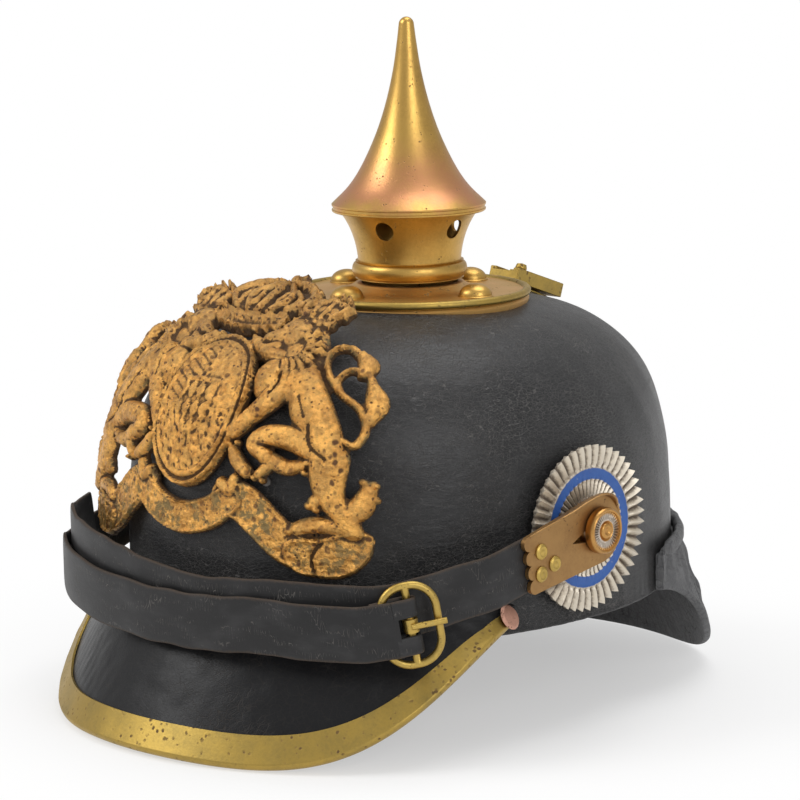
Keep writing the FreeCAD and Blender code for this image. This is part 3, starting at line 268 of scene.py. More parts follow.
class Tree:
    """The node tree of one material, with a Principled shader at its end."""

    def __init__(self, name: str) -> None:
        """Makes the material and clears all but its shader."""
        self.material = bpy.data.materials.new(name)
        self.material.use_nodes = True
        self.nodes = self.material.node_tree.nodes
        self.links = self.material.node_tree.links
        self.shader = self.nodes["Principled BSDF"]

    def node(self, kind: str, settings: Optional[dict] = None, inputs: Optional[dict] = None,
             output: Union[int, str] = 0) -> Sock:
        """Adds a node: its settings first, then the values or links of its sockets.

        Args:
            kind: the node's type.
            settings: the node's attributes.
            inputs: socket names or numbers with values or Socks.
            output: the socket handed back.

        Returns:
            The wrapped output.
        """
        made = self.nodes.new(kind)
        for key, value in (settings or {}).items():
            setattr(made, key, value)
        for key, value in (inputs or {}).items():
            if isinstance(value, Sock):
                self.links.new(value.out, made.inputs[key])
            else:
                made.inputs[key].default_value = value
        return Sock(self, made.outputs[output])

    def place(self, scale: Sequence[float] = (1, 1, 1)) -> Sock:
        """Object coordinates in millimetres, stretched."""
        raw = self.node("ShaderNodeTexCoord", output="Object")
        return self.node("ShaderNodeMapping", {}, {"Vector": raw, "Scale": [1000 * s for s in scale]})

    def sheet(self, scale: Sequence[float] = (1, 1, 1)) -> Sock:
        """The piece's own UV map, stretched."""
        raw = self.node("ShaderNodeTexCoord", output="UV")
        return self.node("ShaderNodeMapping", {}, {"Vector": raw, "Scale": scale})

    def mark(self, name: str) -> Sock:
        """A number painted on the piece's vertices."""
        return self.node("ShaderNodeAttribute", {"attribute_name": name}, output="Fac")

    def height(self) -> Sock:
        """The height above the ground in millimetres."""
        return self.node("ShaderNodeSeparateXYZ", {}, {0: self.place()}, output="Z")

    def noise(self, where: Sock, size: float, detail: float = 3.0, rough: float = 0.55) -> Sock:
        """Cloudy noise from 0 to 1 whose features are about size long."""
        return self.node("ShaderNodeTexNoise", {}, {"Vector": where, "Scale": 1 / size, "Detail": detail,
                                                    "Roughness": rough})

    def wander(self, where: Sock, size: float, amount: float) -> Sock:
        """The place moved about by noise, so that straight patterns grow crooked."""
        cloud = self.node("ShaderNodeTexNoise", {}, {"Vector": where, "Scale": 1 / size, "Detail": 2.0},
                          "Color")
        return self.node("ShaderNodeVectorMath", {"operation": "MULTIPLY_ADD"},
                         {0: cloud, 1: (amount,) * 3, 2: where})

    def cells(self, where: Sock, size: float, feature: str = "F1") -> Sock:
        """Distance in a field of random cells about size across."""
        return self.node("ShaderNodeTexVoronoi", {"feature": feature}, {"Vector": where, "Scale": 1 / size})

    def specks(self, size: float, share: float) -> Sock:
        """Ragged spots about size across: the middles of random cells, let through where a cloud is thick."""
        crooked = self.wander(self.place(), size, size * 0.6)
        let = self.step(self.noise(self.place(), size * 3.2, 4.0, 0.6), 0.62 - 0.25 * share,
                        0.74 - 0.12 * share)
        return self.step(self.cells(crooked, size), 0.34, 0.16) * let

    def step(self, value: Value, low: float, high: float) -> Sock:
        """0 below low, 1 above high and a smooth rise between; high may be the lower one."""
        ends = (low, high, 0.0, 1.0) if low <= high else (high, low, 1.0, 0.0)
        return self.node("ShaderNodeMapRange", {"interpolation_type": "SMOOTHSTEP"},
                         dict(enumerate((value, *ends))))

    def tint(self, share: Value, first: Value, second: Value) -> Sock:
        """The first colour, changed to the second by a share."""
        pair = [c if isinstance(c, Sock) else (*c, 1.0) for c in (first, second)]
        return self.node("ShaderNodeMix", {"data_type": "RGBA"}, {0: share, 6: pair[0], 7: pair[1]}, 2)

    def bump(self, height: Sock, depth: float) -> None:
        """Bends the normal by a height of 0 to 1 that is depth millimetres deep."""
        normal = self.node("ShaderNodeBump", {},
                           {"Strength": 1.0, "Distance": depth / 1000, "Height": height})
        self.links.new(normal.out, self.shader.inputs["Normal"])

    def finish(self, **sockets: Value) -> bpy.types.Material:
        """Sets or links the shader's sockets, named with _ for a blank, and gives the material."""
        for name, value in sockets.items():
            socket = self.shader.inputs[name.replace("_", " ")]
            if isinstance(value, Sock):
                self.links.new(value.out, socket)
            else:
                socket.default_value = value
        return self.material


@dataclass(frozen=True)
class Leather:
    """Old lacquered leather with a net of fine cracks, creases and worn, paler places."""

    name: str
    base: Colour
    worn: Colour
    crack_and_glint: Colour
    crack_size: float = 2.2
    crack_share: float = 0.5
    crack_depth: float = 0.10
    stretch: tuple[float, float, float] = (1.0, 1.0, 2.2)
    crease_size: float = 9.0
    crease_depth: float = 0.25
    roughness: float = 0.42
    wear_start: float = 0.52
    shine: float = 0.40

    def make(self) -> bpy.types.Material:
        """Cracks are the edges of crooked cells, kept where a slow cloud lets them show; a crack colour paler
        than the leather is partly a painted highlight.
        """
        t = Tree(self.name)
        where = t.wander(t.place(self.stretch), self.crack_size * 2.5, self.crack_size * 1.5)
        coarse = t.step(t.cells(where, self.crack_size, "DISTANCE_TO_EDGE"), 0.055, 0.0)
        fine = t.step(t.cells(where, self.crack_size * 0.45, "DISTANCE_TO_EDGE"), 0.07, 0.0)
        patch = t.noise(t.place(), 22.0, 3.0)
        shows = t.step(patch, 0.62 - 0.3 * self.crack_share, 0.72)
        cracks = (coarse * 0.75 + fine * 0.45) * (shows * 0.75 + 0.25)
        creases = t.noise(t.wander(t.place(self.stretch), 14.0, 8.0), self.crease_size, 5.0, 0.6)
        grain = t.noise(t.place(), 0.55, 3.0, 0.6)
        scuffs = t.step(t.noise(t.place((1, 1, 2.6)), 6.0, 6.0, 0.7), self.wear_start, self.wear_start + 0.25)
        colour = t.tint(scuffs * 0.8, self.base, self.worn)
        # A crack colour paler than the leather is partly the cracks' own tone and partly a painted highlight:
        # light caught on their rough edges.
        colour = t.tint(cracks * self.crack_share, colour, self.crack_and_glint)
        rough = self.roughness + (grain - 0.5) * 0.16 + cracks * 0.2 + scuffs * 0.12
        relief = creases * (self.crease_depth) + grain * 0.035 - cracks * self.crack_depth
        t.bump(relief, 1.0)
        return t.finish(Base_Color=colour, Roughness=rough, Specular_IOR_Level=self.shine)


@dataclass(frozen=True)
class StrapLeather:
    """Dry strap leather: short cracks across the strap and brown, fuzzy edges, on the strap's own UV map."""

    name: str
    base: Colour = (0.020, 0.0195, 0.020)
    edge: Colour = (0.075, 0.052, 0.036)
    crack_and_glint: Colour = (0.20, 0.185, 0.17)

    def make(self) -> bpy.types.Material:
        """Cracks are cells stretched over the strap's width; U runs along in mm and V across."""
        t = Tree(self.name)
        run = t.wander(t.sheet((1.0, 0.22, 1.0)), 3.0, 1.1)
        lines = t.step(t.cells(run, 1.25, "DISTANCE_TO_EDGE"), 0.05, 0.0)
        some = t.step(t.noise(t.sheet((0.3, 1.0, 1.0)), 4.0, 4.0, 0.6), 0.50, 0.66)
        cracks = lines * some
        across = t.mark("edge")
        fuzz = t.step(across + (t.noise(t.sheet(), 1.2, 4.0, 0.7) - 0.5) * 0.22, 0.88, 1.04)
        cloud = t.noise(t.sheet((0.5, 1.0, 1.0)), 9.0, 4.0)
        grain = t.noise(t.sheet(), 0.5, 3.0, 0.6)
        colour = t.tint(t.step(cloud, 0.42, 0.75) * 0.5, self.base, (0.055, 0.054, 0.055))
        # The pale crack colour is partly the cracks' own tone and partly a painted highlight: light caught on
        # their rough edges.
        colour = t.tint(cracks * 0.65, colour, self.crack_and_glint)
        colour = t.tint(fuzz * 0.85, colour, self.edge)
        rough = 0.46 + cracks * 0.25 + fuzz * 0.3 + (grain - 0.5) * 0.14
        t.bump(cloud * 0.25 + grain * 0.05 - cracks * 0.14, 1.0)
        return t.finish(Base_Color=colour, Roughness=rough, Specular_IOR_Level=0.26)


@dataclass(frozen=True)
class Brass:
    """Handled brass: cloudy tarnish, dark spots, and a blush of copper between two heights."""

    name: str
    base: Colour
    dull: Colour
    spot: Colour = (0.10, 0.055, 0.025)
    spot_size: float = 1.6
    spot_share: float = 0.5
    roughness: float = 0.30
    blush: Optional[Colour] = None
    blush_from: float = 0.0
    blush_to: float = 0.0
    green: float = 0.0
    pitting: float = 0.05

    def make(self) -> bpy.types.Material:
        """Cloudy tarnish and specks, with a blush that fades in and out with height."""
        t = Tree(self.name)
        cloud = t.noise(t.wander(t.place(), 12.0, 6.0), 16.0, 5.0, 0.62)
        fine = t.noise(t.place(), 1.1, 5.0, 0.65)
        colour = t.tint(t.step(cloud * 0.7 + fine * 0.3, 0.38, 0.68), self.base, self.dull)
        if self.blush is not None:
            level = t.height() + (t.noise(t.place(), 9.0, 4.0) - 0.5) * 14.0
            band = t.step(level, self.blush_to, self.blush_from)
            band = band * t.step(level, self.blush_from - 8.0, self.blush_from)
            colour = t.tint(band * (0.55 + fine * 0.6), colour, self.blush)
        spots = t.specks(self.spot_size, self.spot_share)
        colour = t.tint(spots * 0.85, colour, self.spot)
        rough = self.roughness + cloud * 0.14 + fine * 0.10 + spots * 0.35
        if self.green:
            bloom = t.step(t.noise(t.place(), 7.0, 6.0, 0.7), 0.60, 0.72) * self.green
            colour = t.tint(bloom, colour, (0.16, 0.22, 0.15))
            rough = rough + bloom * 0.3
        t.bump(fine * self.pitting - spots * 0.10, 1.0)
        return t.finish(Base_Color=colour, Roughness=rough, Metallic=1.0 - spots * 0.5)


@dataclass(frozen=True)
class StampedBrass:
    """Gilt sheet gone blotchy: painted shade in the crevices, olive smears, brown specks and grey-brown upper
    parts.
    """

    name: str
    base: Colour = (0.84, 0.45, 0.12)
    deep: Colour = (0.50, 0.25, 0.07)
    upper_tone: Colour = (0.30, 0.20, 0.10)
    olive: Colour = (0.17, 0.14, 0.065)
    grime_and_shade: Colour = (0.060, 0.034, 0.020)
    spot: Colour = (0.075, 0.032, 0.022)
    upper_from: float = 118.0
    upper_to: float = 158.0

    def make(self) -> bpy.types.Material:
        """Marks painted on the plate give the relief's height and its crevices."""
        t = Tree(self.name)
        cloud = t.noise(t.wander(t.place(), 7.0, 4.0), 8.0, 6.0, 0.68)
        fine = t.noise(t.place(), 0.9, 6.0, 0.7)
        curl = t.noise(t.wander(t.place(), 2.6, 2.2), 2.1, 5.0, 0.62)
        colour = t.tint(t.step(cloud * 0.6 + curl * 0.4, 0.40, 0.62), self.base, self.deep)
        level = t.height() + (t.noise(t.place(), 12.0, 5.0, 0.65) - 0.5) * 50.0
        # Greyer and browner towards the top of the plate, by height alone.
        colour = t.tint(t.step(level, self.upper_from, self.upper_to) * 0.36, colour, self.upper_tone)
        low = t.step(t.mark("relief"), 0.62, 0.30)
        smears = t.step(t.noise(t.wander(t.place(), 5.0, 3.0), 4.5, 5.0, 0.7), 0.47, 0.57) * (low * 0.7 + 0.3)
        colour = t.tint(smears * 0.85, colour, self.olive)
        spots = t.specks(2.0, 1.0).peak(t.specks(4.2, 1.0))
        colour = t.tint(spots * 0.88, colour, self.spot)
        # Painted shade: the crevice mark darkens the relief's hollows, where shadow falls.
        hollow = t.step(t.mark("crevice") + (fine - 0.5) * 0.5 + (curl - 0.5) * 0.5, 0.12, 0.50)
        colour = t.tint(hollow * 0.9, colour, self.grime_and_shade)
        dull = hollow.peak(spots).peak(smears)
        t.bump(curl * 1.1 + fine * 0.3 - spots * 0.16, 1.0)
        return t.finish(Base_Color=colour, Roughness=0.24 + cloud * 0.14 + dull * 0.28,
                        Metallic=1.0 - dull * 0.3)


@dataclass(frozen=True)
class Rosette:
    """Silver-white pleats round a ring of blue enamel; UV's V is the radius as a share of the rosette's."""

    name: str
    silver: Colour = (0.74, 0.67, 0.56)
    grime_and_shade: Colour = (0.11, 0.078, 0.055)
    blue: Colour = (0.020, 0.075, 0.30)
    ring: tuple[float, float] = (0.585, 0.715)

    def make(self) -> bpy.types.Material:
        """Blue fills the ring with a slightly ragged edge, and dirt with painted shade lies in the pleats'
        valleys.
        """
        t = Tree(self.name)
        radius = t.node("ShaderNodeSeparateXYZ", {}, {0: t.sheet()}, "Y")
        ragged = radius + (t.noise(t.place(), 1.0, 4.0) - 0.5) * 0.022
        inside, outside = self.ring
        ring = t.step(ragged, inside - 0.006, inside + 0.006) * t.step(ragged, outside + 0.006,
                                                                       outside - 0.006)
        cloud = t.noise(t.place(), 1.4, 5.0, 0.7)
        # Darker in the pleats' valleys: dirt together with painted shade where the folds fall into shadow.
        valley = t.step(t.mark("relief") + (cloud - 0.5) * 0.9, 0.72, 0.20)
        colour = t.tint(valley * 0.9, self.silver, self.grime_and_shade)
        chips = t.step(t.noise(t.place(), 2.2, 5.0, 0.7), 0.64, 0.70)
        ring = ring * (1.0 - chips * 0.75)
        shade = t.tint(t.noise(t.place(), 4.0, 4.0), self.blue, (0.035, 0.13, 0.42))
        colour = t.tint(ring, colour, shade)
        rough = 0.42 + valley * 0.25 + cloud * 0.12 - ring * 0.05
        metal = (1.0 - ring) * (0.9 - valley * 0.35)
        t.bump(cloud * 0.12, 1.0)
        return t.finish(Base_Color=colour, Roughness=rough, Metallic=metal)


@dataclass(frozen=True)
class PostFace:
    """The post's head: gilt outside, a silvered middle ring by radius on UV's V."""

    name: str

    def make(self) -> bpy.types.Material:
        """The silver ring lies between 0.40 and 0.62 of the radius; valleys are dark with dirt and painted
        shade.
        """
        t = Tree(self.name)
        radius = t.node("ShaderNodeSeparateXYZ", {}, {0: t.sheet()}, "Y")
        cloud = t.noise(t.place(), 1.2, 5.0, 0.65)
        ragged = radius + (cloud - 0.5) * 0.05
        ring = t.step(ragged, 0.42, 0.48) * t.step(ragged, 0.80, 0.66)
        colour = t.tint(cloud, (0.60, 0.33, 0.10), (0.42, 0.22, 0.07))
        colour = t.tint(ring * 0.8, colour, (0.58, 0.56, 0.52))
        # Darker in the ribs' valleys: dirt together with painted shade.
        valley = t.step(t.mark("relief"), 0.5, 0.1)
        colour = t.tint(valley * 0.8, colour, (0.12, 0.08, 0.05))
        t.bump(cloud * 0.06, 1.0)
        return t.finish(Base_Color=colour, Roughness=0.3 + valley * 0.3 + cloud * 0.1,
                        Metallic=1.0 - valley * 0.4)


# ---------------------------------------------------------------- making pieces
@dataclass
class Workshop:
    """Turns grids of helmet millimetres into placed, dressed pieces."""

    stance: Stance
    made: list[str] = field(default_factory=list)

    def piece(self, name: str, points: Array, faces: Array, finish: bpy.types.Material, slot: str,
              body: Body = Body.HELMET, stands_for: Sequence[str] = (), uv: Optional[Array] = None,
              marks: Optional[dict[str, Array]] = None, sharp: float = 38.0) -> bpy.types.Object:
        """Makes one mesh piece, merges its seams, points its faces outwards and dresses it.

        Args:
            name: the piece's name.
            points: vertices in helmet millimetres.
            faces: quads or triangles as vertex numbers.
            finish: the material.
            slot: the record's slot; not used.
            body: the body it rides on.
            stands_for: CAD nodes it replaces.
            uv: one UV pair for each vertex.
            marks: numbers painted on the vertices by name.
            sharp: edges that turn more than this many degrees stay crisp.

        Returns:
            The object.
        """
        flat = np.asarray(points, float).reshape(-1, 3)
        mesh = bpy.data.meshes.new(name)
        mesh.from_pydata(self.stance.place(flat).tolist(), [], np.asarray(faces).tolist())
        for key, numbers in (marks or {}).items():
            mesh.attributes.new(key, "FLOAT", "POINT").data.foreach_set("value",
                                                                        np.ravel(numbers).astype(np.float32))
        if uv is not None:
            corners = np.zeros(len(mesh.loops), np.int32)
            mesh.loops.foreach_get("vertex_index", corners)
            layer = mesh.uv_layers.new(name="UVMap")
            layer.data.foreach_set("uv", np.asarray(uv, np.float32).reshape(-1, 2)[corners].ravel())
        self.clean(mesh, sharp)
        return self.dress(bpy.data.objects.new(name, mesh), finish, body, stands_for)

    @staticmethod
    def clean(mesh: bpy.types.Mesh, sharp: float, closed: bool = True, flip: bool = False) -> None:
        """Merges doubles, drops empty faces, points faces outwards and marks crisp edges.

        Args:
            mesh: the mesh, changed in place.
            sharp: edges that turn more than this many degrees stay crisp.
            closed: whether the outside can be found from the shape alone.
            flip: for an open sheet, whether its faces are turned over.
        """
        work = bmesh.new()
        work.from_mesh(mesh)
        bmesh.ops.remove_doubles(work, verts=work.verts, dist=2e-6)
        bmesh.ops.dissolve_degenerate(work, dist=1e-7, edges=work.edges)
        if closed:
            bmesh.ops.recalc_face_normals(work, faces=work.faces)
        elif flip:
            bmesh.ops.reverse_faces(work, faces=work.faces)
        Workshop.crisp(work, math.radians(sharp))
        work.to_mesh(mesh)
        work.free()

    @staticmethod
    def crisp(work: bmesh.types.BMesh, limit: float) -> None:
        """Shades all faces smooth but for the edges that turn by more than the limit."""
        for edge in work.edges:
            edge.smooth = not (edge.is_manifold and edge.calc_face_angle(0.0) > limit)
        for face in work.faces:
            face.smooth = True

    def dress(self, piece: bpy.types.Object, finish: bpy.types.Material, body: Body,
              stands_for: Sequence[str]) -> bpy.types.Object:
        """Links a piece to the scene, gives it its finish and lets it ride on its body."""
        bpy.context.scene.collection.objects.link(piece)
        piece.data.materials.append(finish)
        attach(piece, body.value)
        if stands_for:
            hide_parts(*stands_for)
        self.made.append(piece.name)
        LOG.info("%s: %d faces", piece.name, len(piece.data.polygons))
        return piece

    def keep(self, node: str, finish: bpy.types.Material) -> None:
        """Leaves a CAD node as it is and gives it its finish."""
        kept = frame["nodes"][node]
        if not kept.material_slots:
            kept.data.materials.append(finish)
        for slot in kept.material_slots:
            slot.material = finish

    def refined(self, node: str, name: str, finish: bpy.types.Material, body: Body = Body.HELMET,
                edge: float = 0.25, sharp: float = 30.0) -> bpy.types.Object:
        """A copy of a CAD node with merged faces, smooth shading and softly broken edges."""
        mesh = frame["nodes"][node].data.copy()
        mesh.materials.clear()
        work = bmesh.new()
        work.from_mesh(mesh)
        bmesh.ops.remove_doubles(work, verts=work.verts, dist=5e-6)
        bmesh.ops.dissolve_limit(work, angle_limit=math.radians(0.6), verts=work.verts, edges=work.edges)
        limit = math.radians(sharp)
        self.crisp(work, limit)
        work.to_mesh(mesh)
        work.free()
        piece = self.dress(bpy.data.objects.new(name, mesh), finish, body, [node])
        if edge:
            soft = piece.modifiers.new("soft_edges", "BEVEL")
            soft.width, soft.segments, soft.limit_method = edge / 1000, 2, "ANGLE"
            soft.angle_limit, soft.harden_normals = limit, True
        return piece


def grid_faces(rows: int, cols: int) -> Array:
    """Quads between neighbouring rows and columns of a grid of vertices."""
    i, j = np.meshgrid(np.arange(rows - 1), np.arange(cols - 1), indexing="ij")
    first = (i * cols + j).ravel()
    return np.stack([first, first + 1, first + cols + 1, first + cols], -1)


def capped(rings: Array) -> Array:
    """Rings with a last ring at each end drawn in to its middle, so that a tube is closed."""
    first, last = rings[:1].mean(1, keepdims=True), rings[-1:].mean(1, keepdims=True)
    return np.concatenate([np.broadcast_to(first, rings[:1].shape), rings,
                           np.broadcast_to(last, rings[-1:].shape)])


def closed_loop(ring: Array) -> Array:
    """A ring axis with its first entry repeated at the end."""
    return np.concatenate([ring, ring[:, :1]], axis=1)


def turned(profile: Array, steps: int = 128) -> Array:
    """A profile of (radius, height) turned about Z: (r sin a, -r cos a, z)."""
    angle = np.linspace(0, 2 * np.pi, steps + 1)
    r, z = profile[:, :1], profile[:, 1:]
    return np.stack([r * np.sin(angle), -r * np.cos(angle), z + 0 * angle], -1)


def framed(points: Array, origin: Array, x: Array, y: Array, z: Array) -> Array:
    """Points moved into a frame: origin + a x + b y + c z."""
    return np.asarray(origin) + points[..., :1] * x + points[..., 1:2] * y + points[..., 2:3] * z


def axes_to(direction: Array) -> tuple[Array, Array, Array]:
    """Three unit axes whose third is the direction."""
    z = unit(np.asarray(direction, float))
    helper = np.array([0.0, 0.0, 1.0]) if abs(z[2]) < 0.9 else np.array([1.0, 0.0, 0.0])
    x = unit(np.cross(helper, z))
    return x, np.cross(z, x), z


def rounded_section(half_width: float, half_height: float, count: int = 40, power: float = 6.0) -> Array:
    """A soft-cornered oblong: |x/a|^p + |y/b|^p = 1."""
    angle = np.linspace(0, 2 * np.pi, count, endpoint=False)
    c, s = np.cos(angle), np.sin(angle)
    reach = (np.abs(c) ** power + np.abs(s) ** power) ** (-1 / power)
    return np.stack([half_width * c * reach, half_height * s * reach], -1)


def swept(centres: Array, sides: Array, ups: Array, section: Array) -> Array:
    """A section carried along a path: centre + side a + up b, as closed rings."""
    a, b = section[..., 0], section[..., 1]
    if section.ndim == 2:
        a, b = a[None, :], b[None, :]
    return centres[:, None] + sides[:, None] * a[..., None] + ups[:, None] * b[..., None]


# ---------------------------------------------------------------- the leather body
@dataclass
class Shell:
    """The dome: an oval lathe with a rolled, crinkled lower edge."""

    wall: float = 3.0
    roll: float = 1.7

    def build(self, shop: Workshop, finish: bpy.types.Material) -> None:
        """Rings of the outer dome, the rolled edge and the inner dome, from crown to crown."""
        shares = np.concatenate([[0.0], np.sin(np.linspace(0.02, np.pi / 2, 90))])
        heights = DOME.base + DOME.rise * np.clip(1 - shares**3, 0, 1) ** 0.25
        low = np.linspace(0, np.pi, 11)[1:-1]
        out = np.concatenate([np.zeros(91), self.roll * np.sin(low) * 0.6 - (1 - np.cos(low)) * self.wall / 2,
                              np.full(91, -self.wall)])
        share = np.concatenate([shares, np.ones(9), shares[::-1]])
        inner = DOME.base + (DOME.rise - self.wall) * np.clip(1 - shares[::-1]**3, 0, 1) ** 0.25
        height = np.concatenate([heights, DOME.base - 1.4 * np.sin(low), inner])
        angle = np.linspace(0, 2 * np.pi, 361)
        x = (DOME.half_width + out)[:, None] * share[:, None] * np.sin(angle)
        y = -DOME.forward - (DOME.half_length + out)[:, None] * share[:, None] * np.cos(angle)
        points = np.stack([x, y, height[:, None] + 0 * angle], -1)
        normal = DOME.normal(points)
        near_edge = ease((DOME.base + 9 - points[..., 2]) / 9)
        sink = 0.30 * (ripple(points, 34, 5) - 1.2) + 0.25 * near_edge * ripple(points * [1, 1, 2], 4.0, 9)
        sink[100:] *= 0.3
        points[:, :-1] += (normal * sink[..., None])[:, :-1]
        points[:, -1] = points[:, 0]
        shop.piece("leather_shell", points, grid_faces(*points.shape[:2]), finish, "shell_leather",
                   stands_for=["shell"])


@dataclass
class VisorForm:
    """A visor's seam and edge at a share of its span, as the CAD's formulas give them."""

    span: float
    reach: float
    power: float
    seam: float
    rear: bool
    wall: float = 3.0
    seat: float = 0.15

    def edge_height(self, q: Array) -> Array:
        """Height of the lower edge: high at the ends, with a small rise at the front's middle."""
        if self.rear:
            return 43.0 * np.sin(np.pi / 2 * q**1.05) ** 4.5
        swing = np.pi / 2 * q**1.22
        return 48.0 * np.sin(swing) ** 3.9 + 7.0 * np.cos(swing) ** 4

    def frames(self, share: Array) -> dict[str, Array]:
        """Seam points, outer seam points, edge points and the directions down, out and away.

        Args:
            share: places along the span, from -1 to 1.

        Returns:
            Arrays by name.
        """
        q = np.abs(share)
        bearing = math.radians(self.span) * share
        heading = math.pi - bearing if self.rear else bearing
        ray = np.stack([np.sin(heading), -np.cos(heading), 0 * q], -1)
        middle = np.array([0, -DOME.forward, 0.0])
        zed = np.array([0, 0, 1.0])
        top = middle + ray * (DOME.reach(heading, self.seam) + self.seat)[:, None] + zed * self.seam
        stand = self.wall + self.seat + self.reach * (1 - q**self.power)
        foot = middle + ray * (DOME.reach(heading, DOME.base) + stand)[:, None] \
            + zed * self.edge_height(q)[:, None]
        outer = top + ray * self.wall
        down = unit(foot - outer)
        out = unit(ray - down * (ray * down).sum(-1, keepdims=True))
        return {"top": top, "outer": outer, "foot": foot, "down": down, "out": out, "ray": ray}


FRONT = VisorForm(67.0, 25.5, 3.8, 53.0, False)
REAR = VisorForm(62.0, 17.0, 2.8, 56.0, True)


@dataclass
class Visors:
    """Both leather visors, the rear one's rolled seam, and the brass strip on the front edge."""

    wall: float = 3.0
    strip_width: float = 10.5
    strip_inner: float = 6.0
    strip_sheet: float = 0.8
    strip_gap: float = 0.2
    strip_end: float = 0.985
    fold_share: float = 0.88

    def leaf(self, form: VisorForm, count: int, crinkle: float) -> Array:
        """Closed sections of a visor: down its outside, round its edge and up its inside."""
        share = np.linspace(-1, 1, count)
        f = form.frames(share)
        w = np.linspace(0, 1, 34)[None, :, None]
        inner_foot = f["foot"] - f["out"] * self.wall
        outside = f["outer"][:, None] * (1 - w) + f["foot"][:, None] * w
        waves = ripple(outside * [1, 1, 0.45], 7.0, 3) + 0.6 * ripple(outside, 17.0, 4)
        lift = crinkle * (waves - 0.6) * np.sin(np.pi * np.clip(w[..., 0] * 1.02, 0, 1)) ** 0.5
        outside = outside + f["out"][:, None] * lift[..., None]
        turn = np.linspace(0, np.pi, 8)[1:-1][None, :, None]
        edge = f["foot"][:, None] - f["out"][:, None] * (1 - np.cos(turn)) * self.wall / 2 \
            + f["down"][:, None] * 0.7 * np.sin(turn)
        back = w[:, ::-1]
        inside = f["top"][:, None] * (1 - back) + inner_foot[:, None] * back
        return np.concatenate([outside, edge, inside], 1)

    def roll(self) -> Array:
        """The rear seam's roll: a flattened tube that stands on the seam and thins at its ends."""
        share = np.linspace(-0.995, 0.995, 321)
        f = REAR.frames(share)
        zed = np.array([0, 0, 1.0])
        waist = 0.55 + 0.45 * ease((1 - np.abs(share)) / 0.08)
        centre = f["outer"] - f["ray"] * 0.2 + zed * 1.3
        section = rounded_section(1.0, 1.0, 28, 2.4)
        wide = section[None, :, 0] * (1.9 * waist)[:, None]
        tall = section[None, :, 1] * (3.0 * waist)[:, None]
        rings = centre[:, None] + f["ray"][:, None] * wide[..., None] + zed * tall[..., None]
        rings += f["ray"][:, None] * (0.35 * ripple(rings * [1, 1, 0.6], 5.5, 8))[..., None]
        return rings

    def strip(self) -> Array:
        """The folded brass: a rounded J whose inner leg fades out before the end tongues."""
        share = np.linspace(-self.strip_end, self.strip_end, 241)
        f = FRONT.frames(share)
        q = np.clip(np.abs(share) / self.fold_share, 0, 1)
        past = ease((np.abs(share) - self.fold_share) / (self.strip_end - self.fold_share))
        outer = self.strip_width - 4.5 * q**8 - 2.0 * past
        inner = np.maximum((self.strip_inner - 4.0 * q**8) * (1 - past), 0.3)
        gap, metal = self.strip_gap, self.strip_sheet
        bend = np.linspace(0, np.pi, 12)
        reach = self.wall / 2 + gap
        mid = -self.wall / 2

        def layer(extra: float, legs: Array, backs: Array) -> Array:
            """One face of the strip: outer leg, half circle and inner leg as (up, out) pairs."""
            up = np.linspace(1, 0.02, 9)[None, :] * legs[:, None]
            leg = np.stack([up, np.full_like(up, gap + extra)], -1)
            arc = np.stack([-(gap + extra) * np.sin(bend) - 0.5 * np.sin(bend),
                            mid + (reach + extra) * np.cos(bend)], -1)
            rise = np.linspace(0.02, 1, 6)[None, :] * backs[:, None]
            back = np.stack([rise, np.full_like(rise, mid - reach - extra)], -1)
            return np.concatenate([leg, np.broadcast_to(arc, (len(share), *arc.shape)), back], 1)

        far, near = layer(metal, outer - 0.15, inner - 0.1), layer(0.0, outer, inner)
        ring = np.concatenate([far, near[:, ::-1]], 1)
        ring[..., 1] = np.where(ring[..., 1] < mid, mid + (ring[..., 1] - mid) * (1 - past[:, None] * 0.9),
                                ring[..., 1])
        dents = 0.14 * ripple(f["foot"], 15, 21) - 0.1
        points = f["foot"][:, None] - f["down"][:, None] * ring[..., :1] + f["out"][:, None] * ring[..., 1:]
        return points + f["out"][:, None] * np.clip(dents, -0.15, 0.25)[:, None, None] * (ring[..., 1:] > 0)

    def build(self, shop: Workshop, front: bpy.types.Material, rear: bpy.types.Material,
              brass: bpy.types.Material, copper: bpy.types.Material) -> None:
        """Makes the four pieces and dresses the strip's rivets."""
        for name, rings, finish, slot, node in (
                ("front_visor_leather", self.leaf(FRONT, 241, 0.10), front, "visor_leather", ["front_visor"]),
                ("rear_visor_leather", self.leaf(REAR, 241, 0.85), rear, "rear_leather", ["rear_visor"]),
                ("rear_visor_roll", self.roll(), rear, "rear_leather", []),
                ("front_visor_strip", self.strip(), brass, "trim_brass", ["front_visor_trim"])):
            points = closed_loop(capped(rings))
            shop.piece(name, points, grid_faces(*points.shape[:2]), finish, slot, stands_for=node)
        shop.refined("trim_rivets", "strip_rivets", copper, edge=0.2)


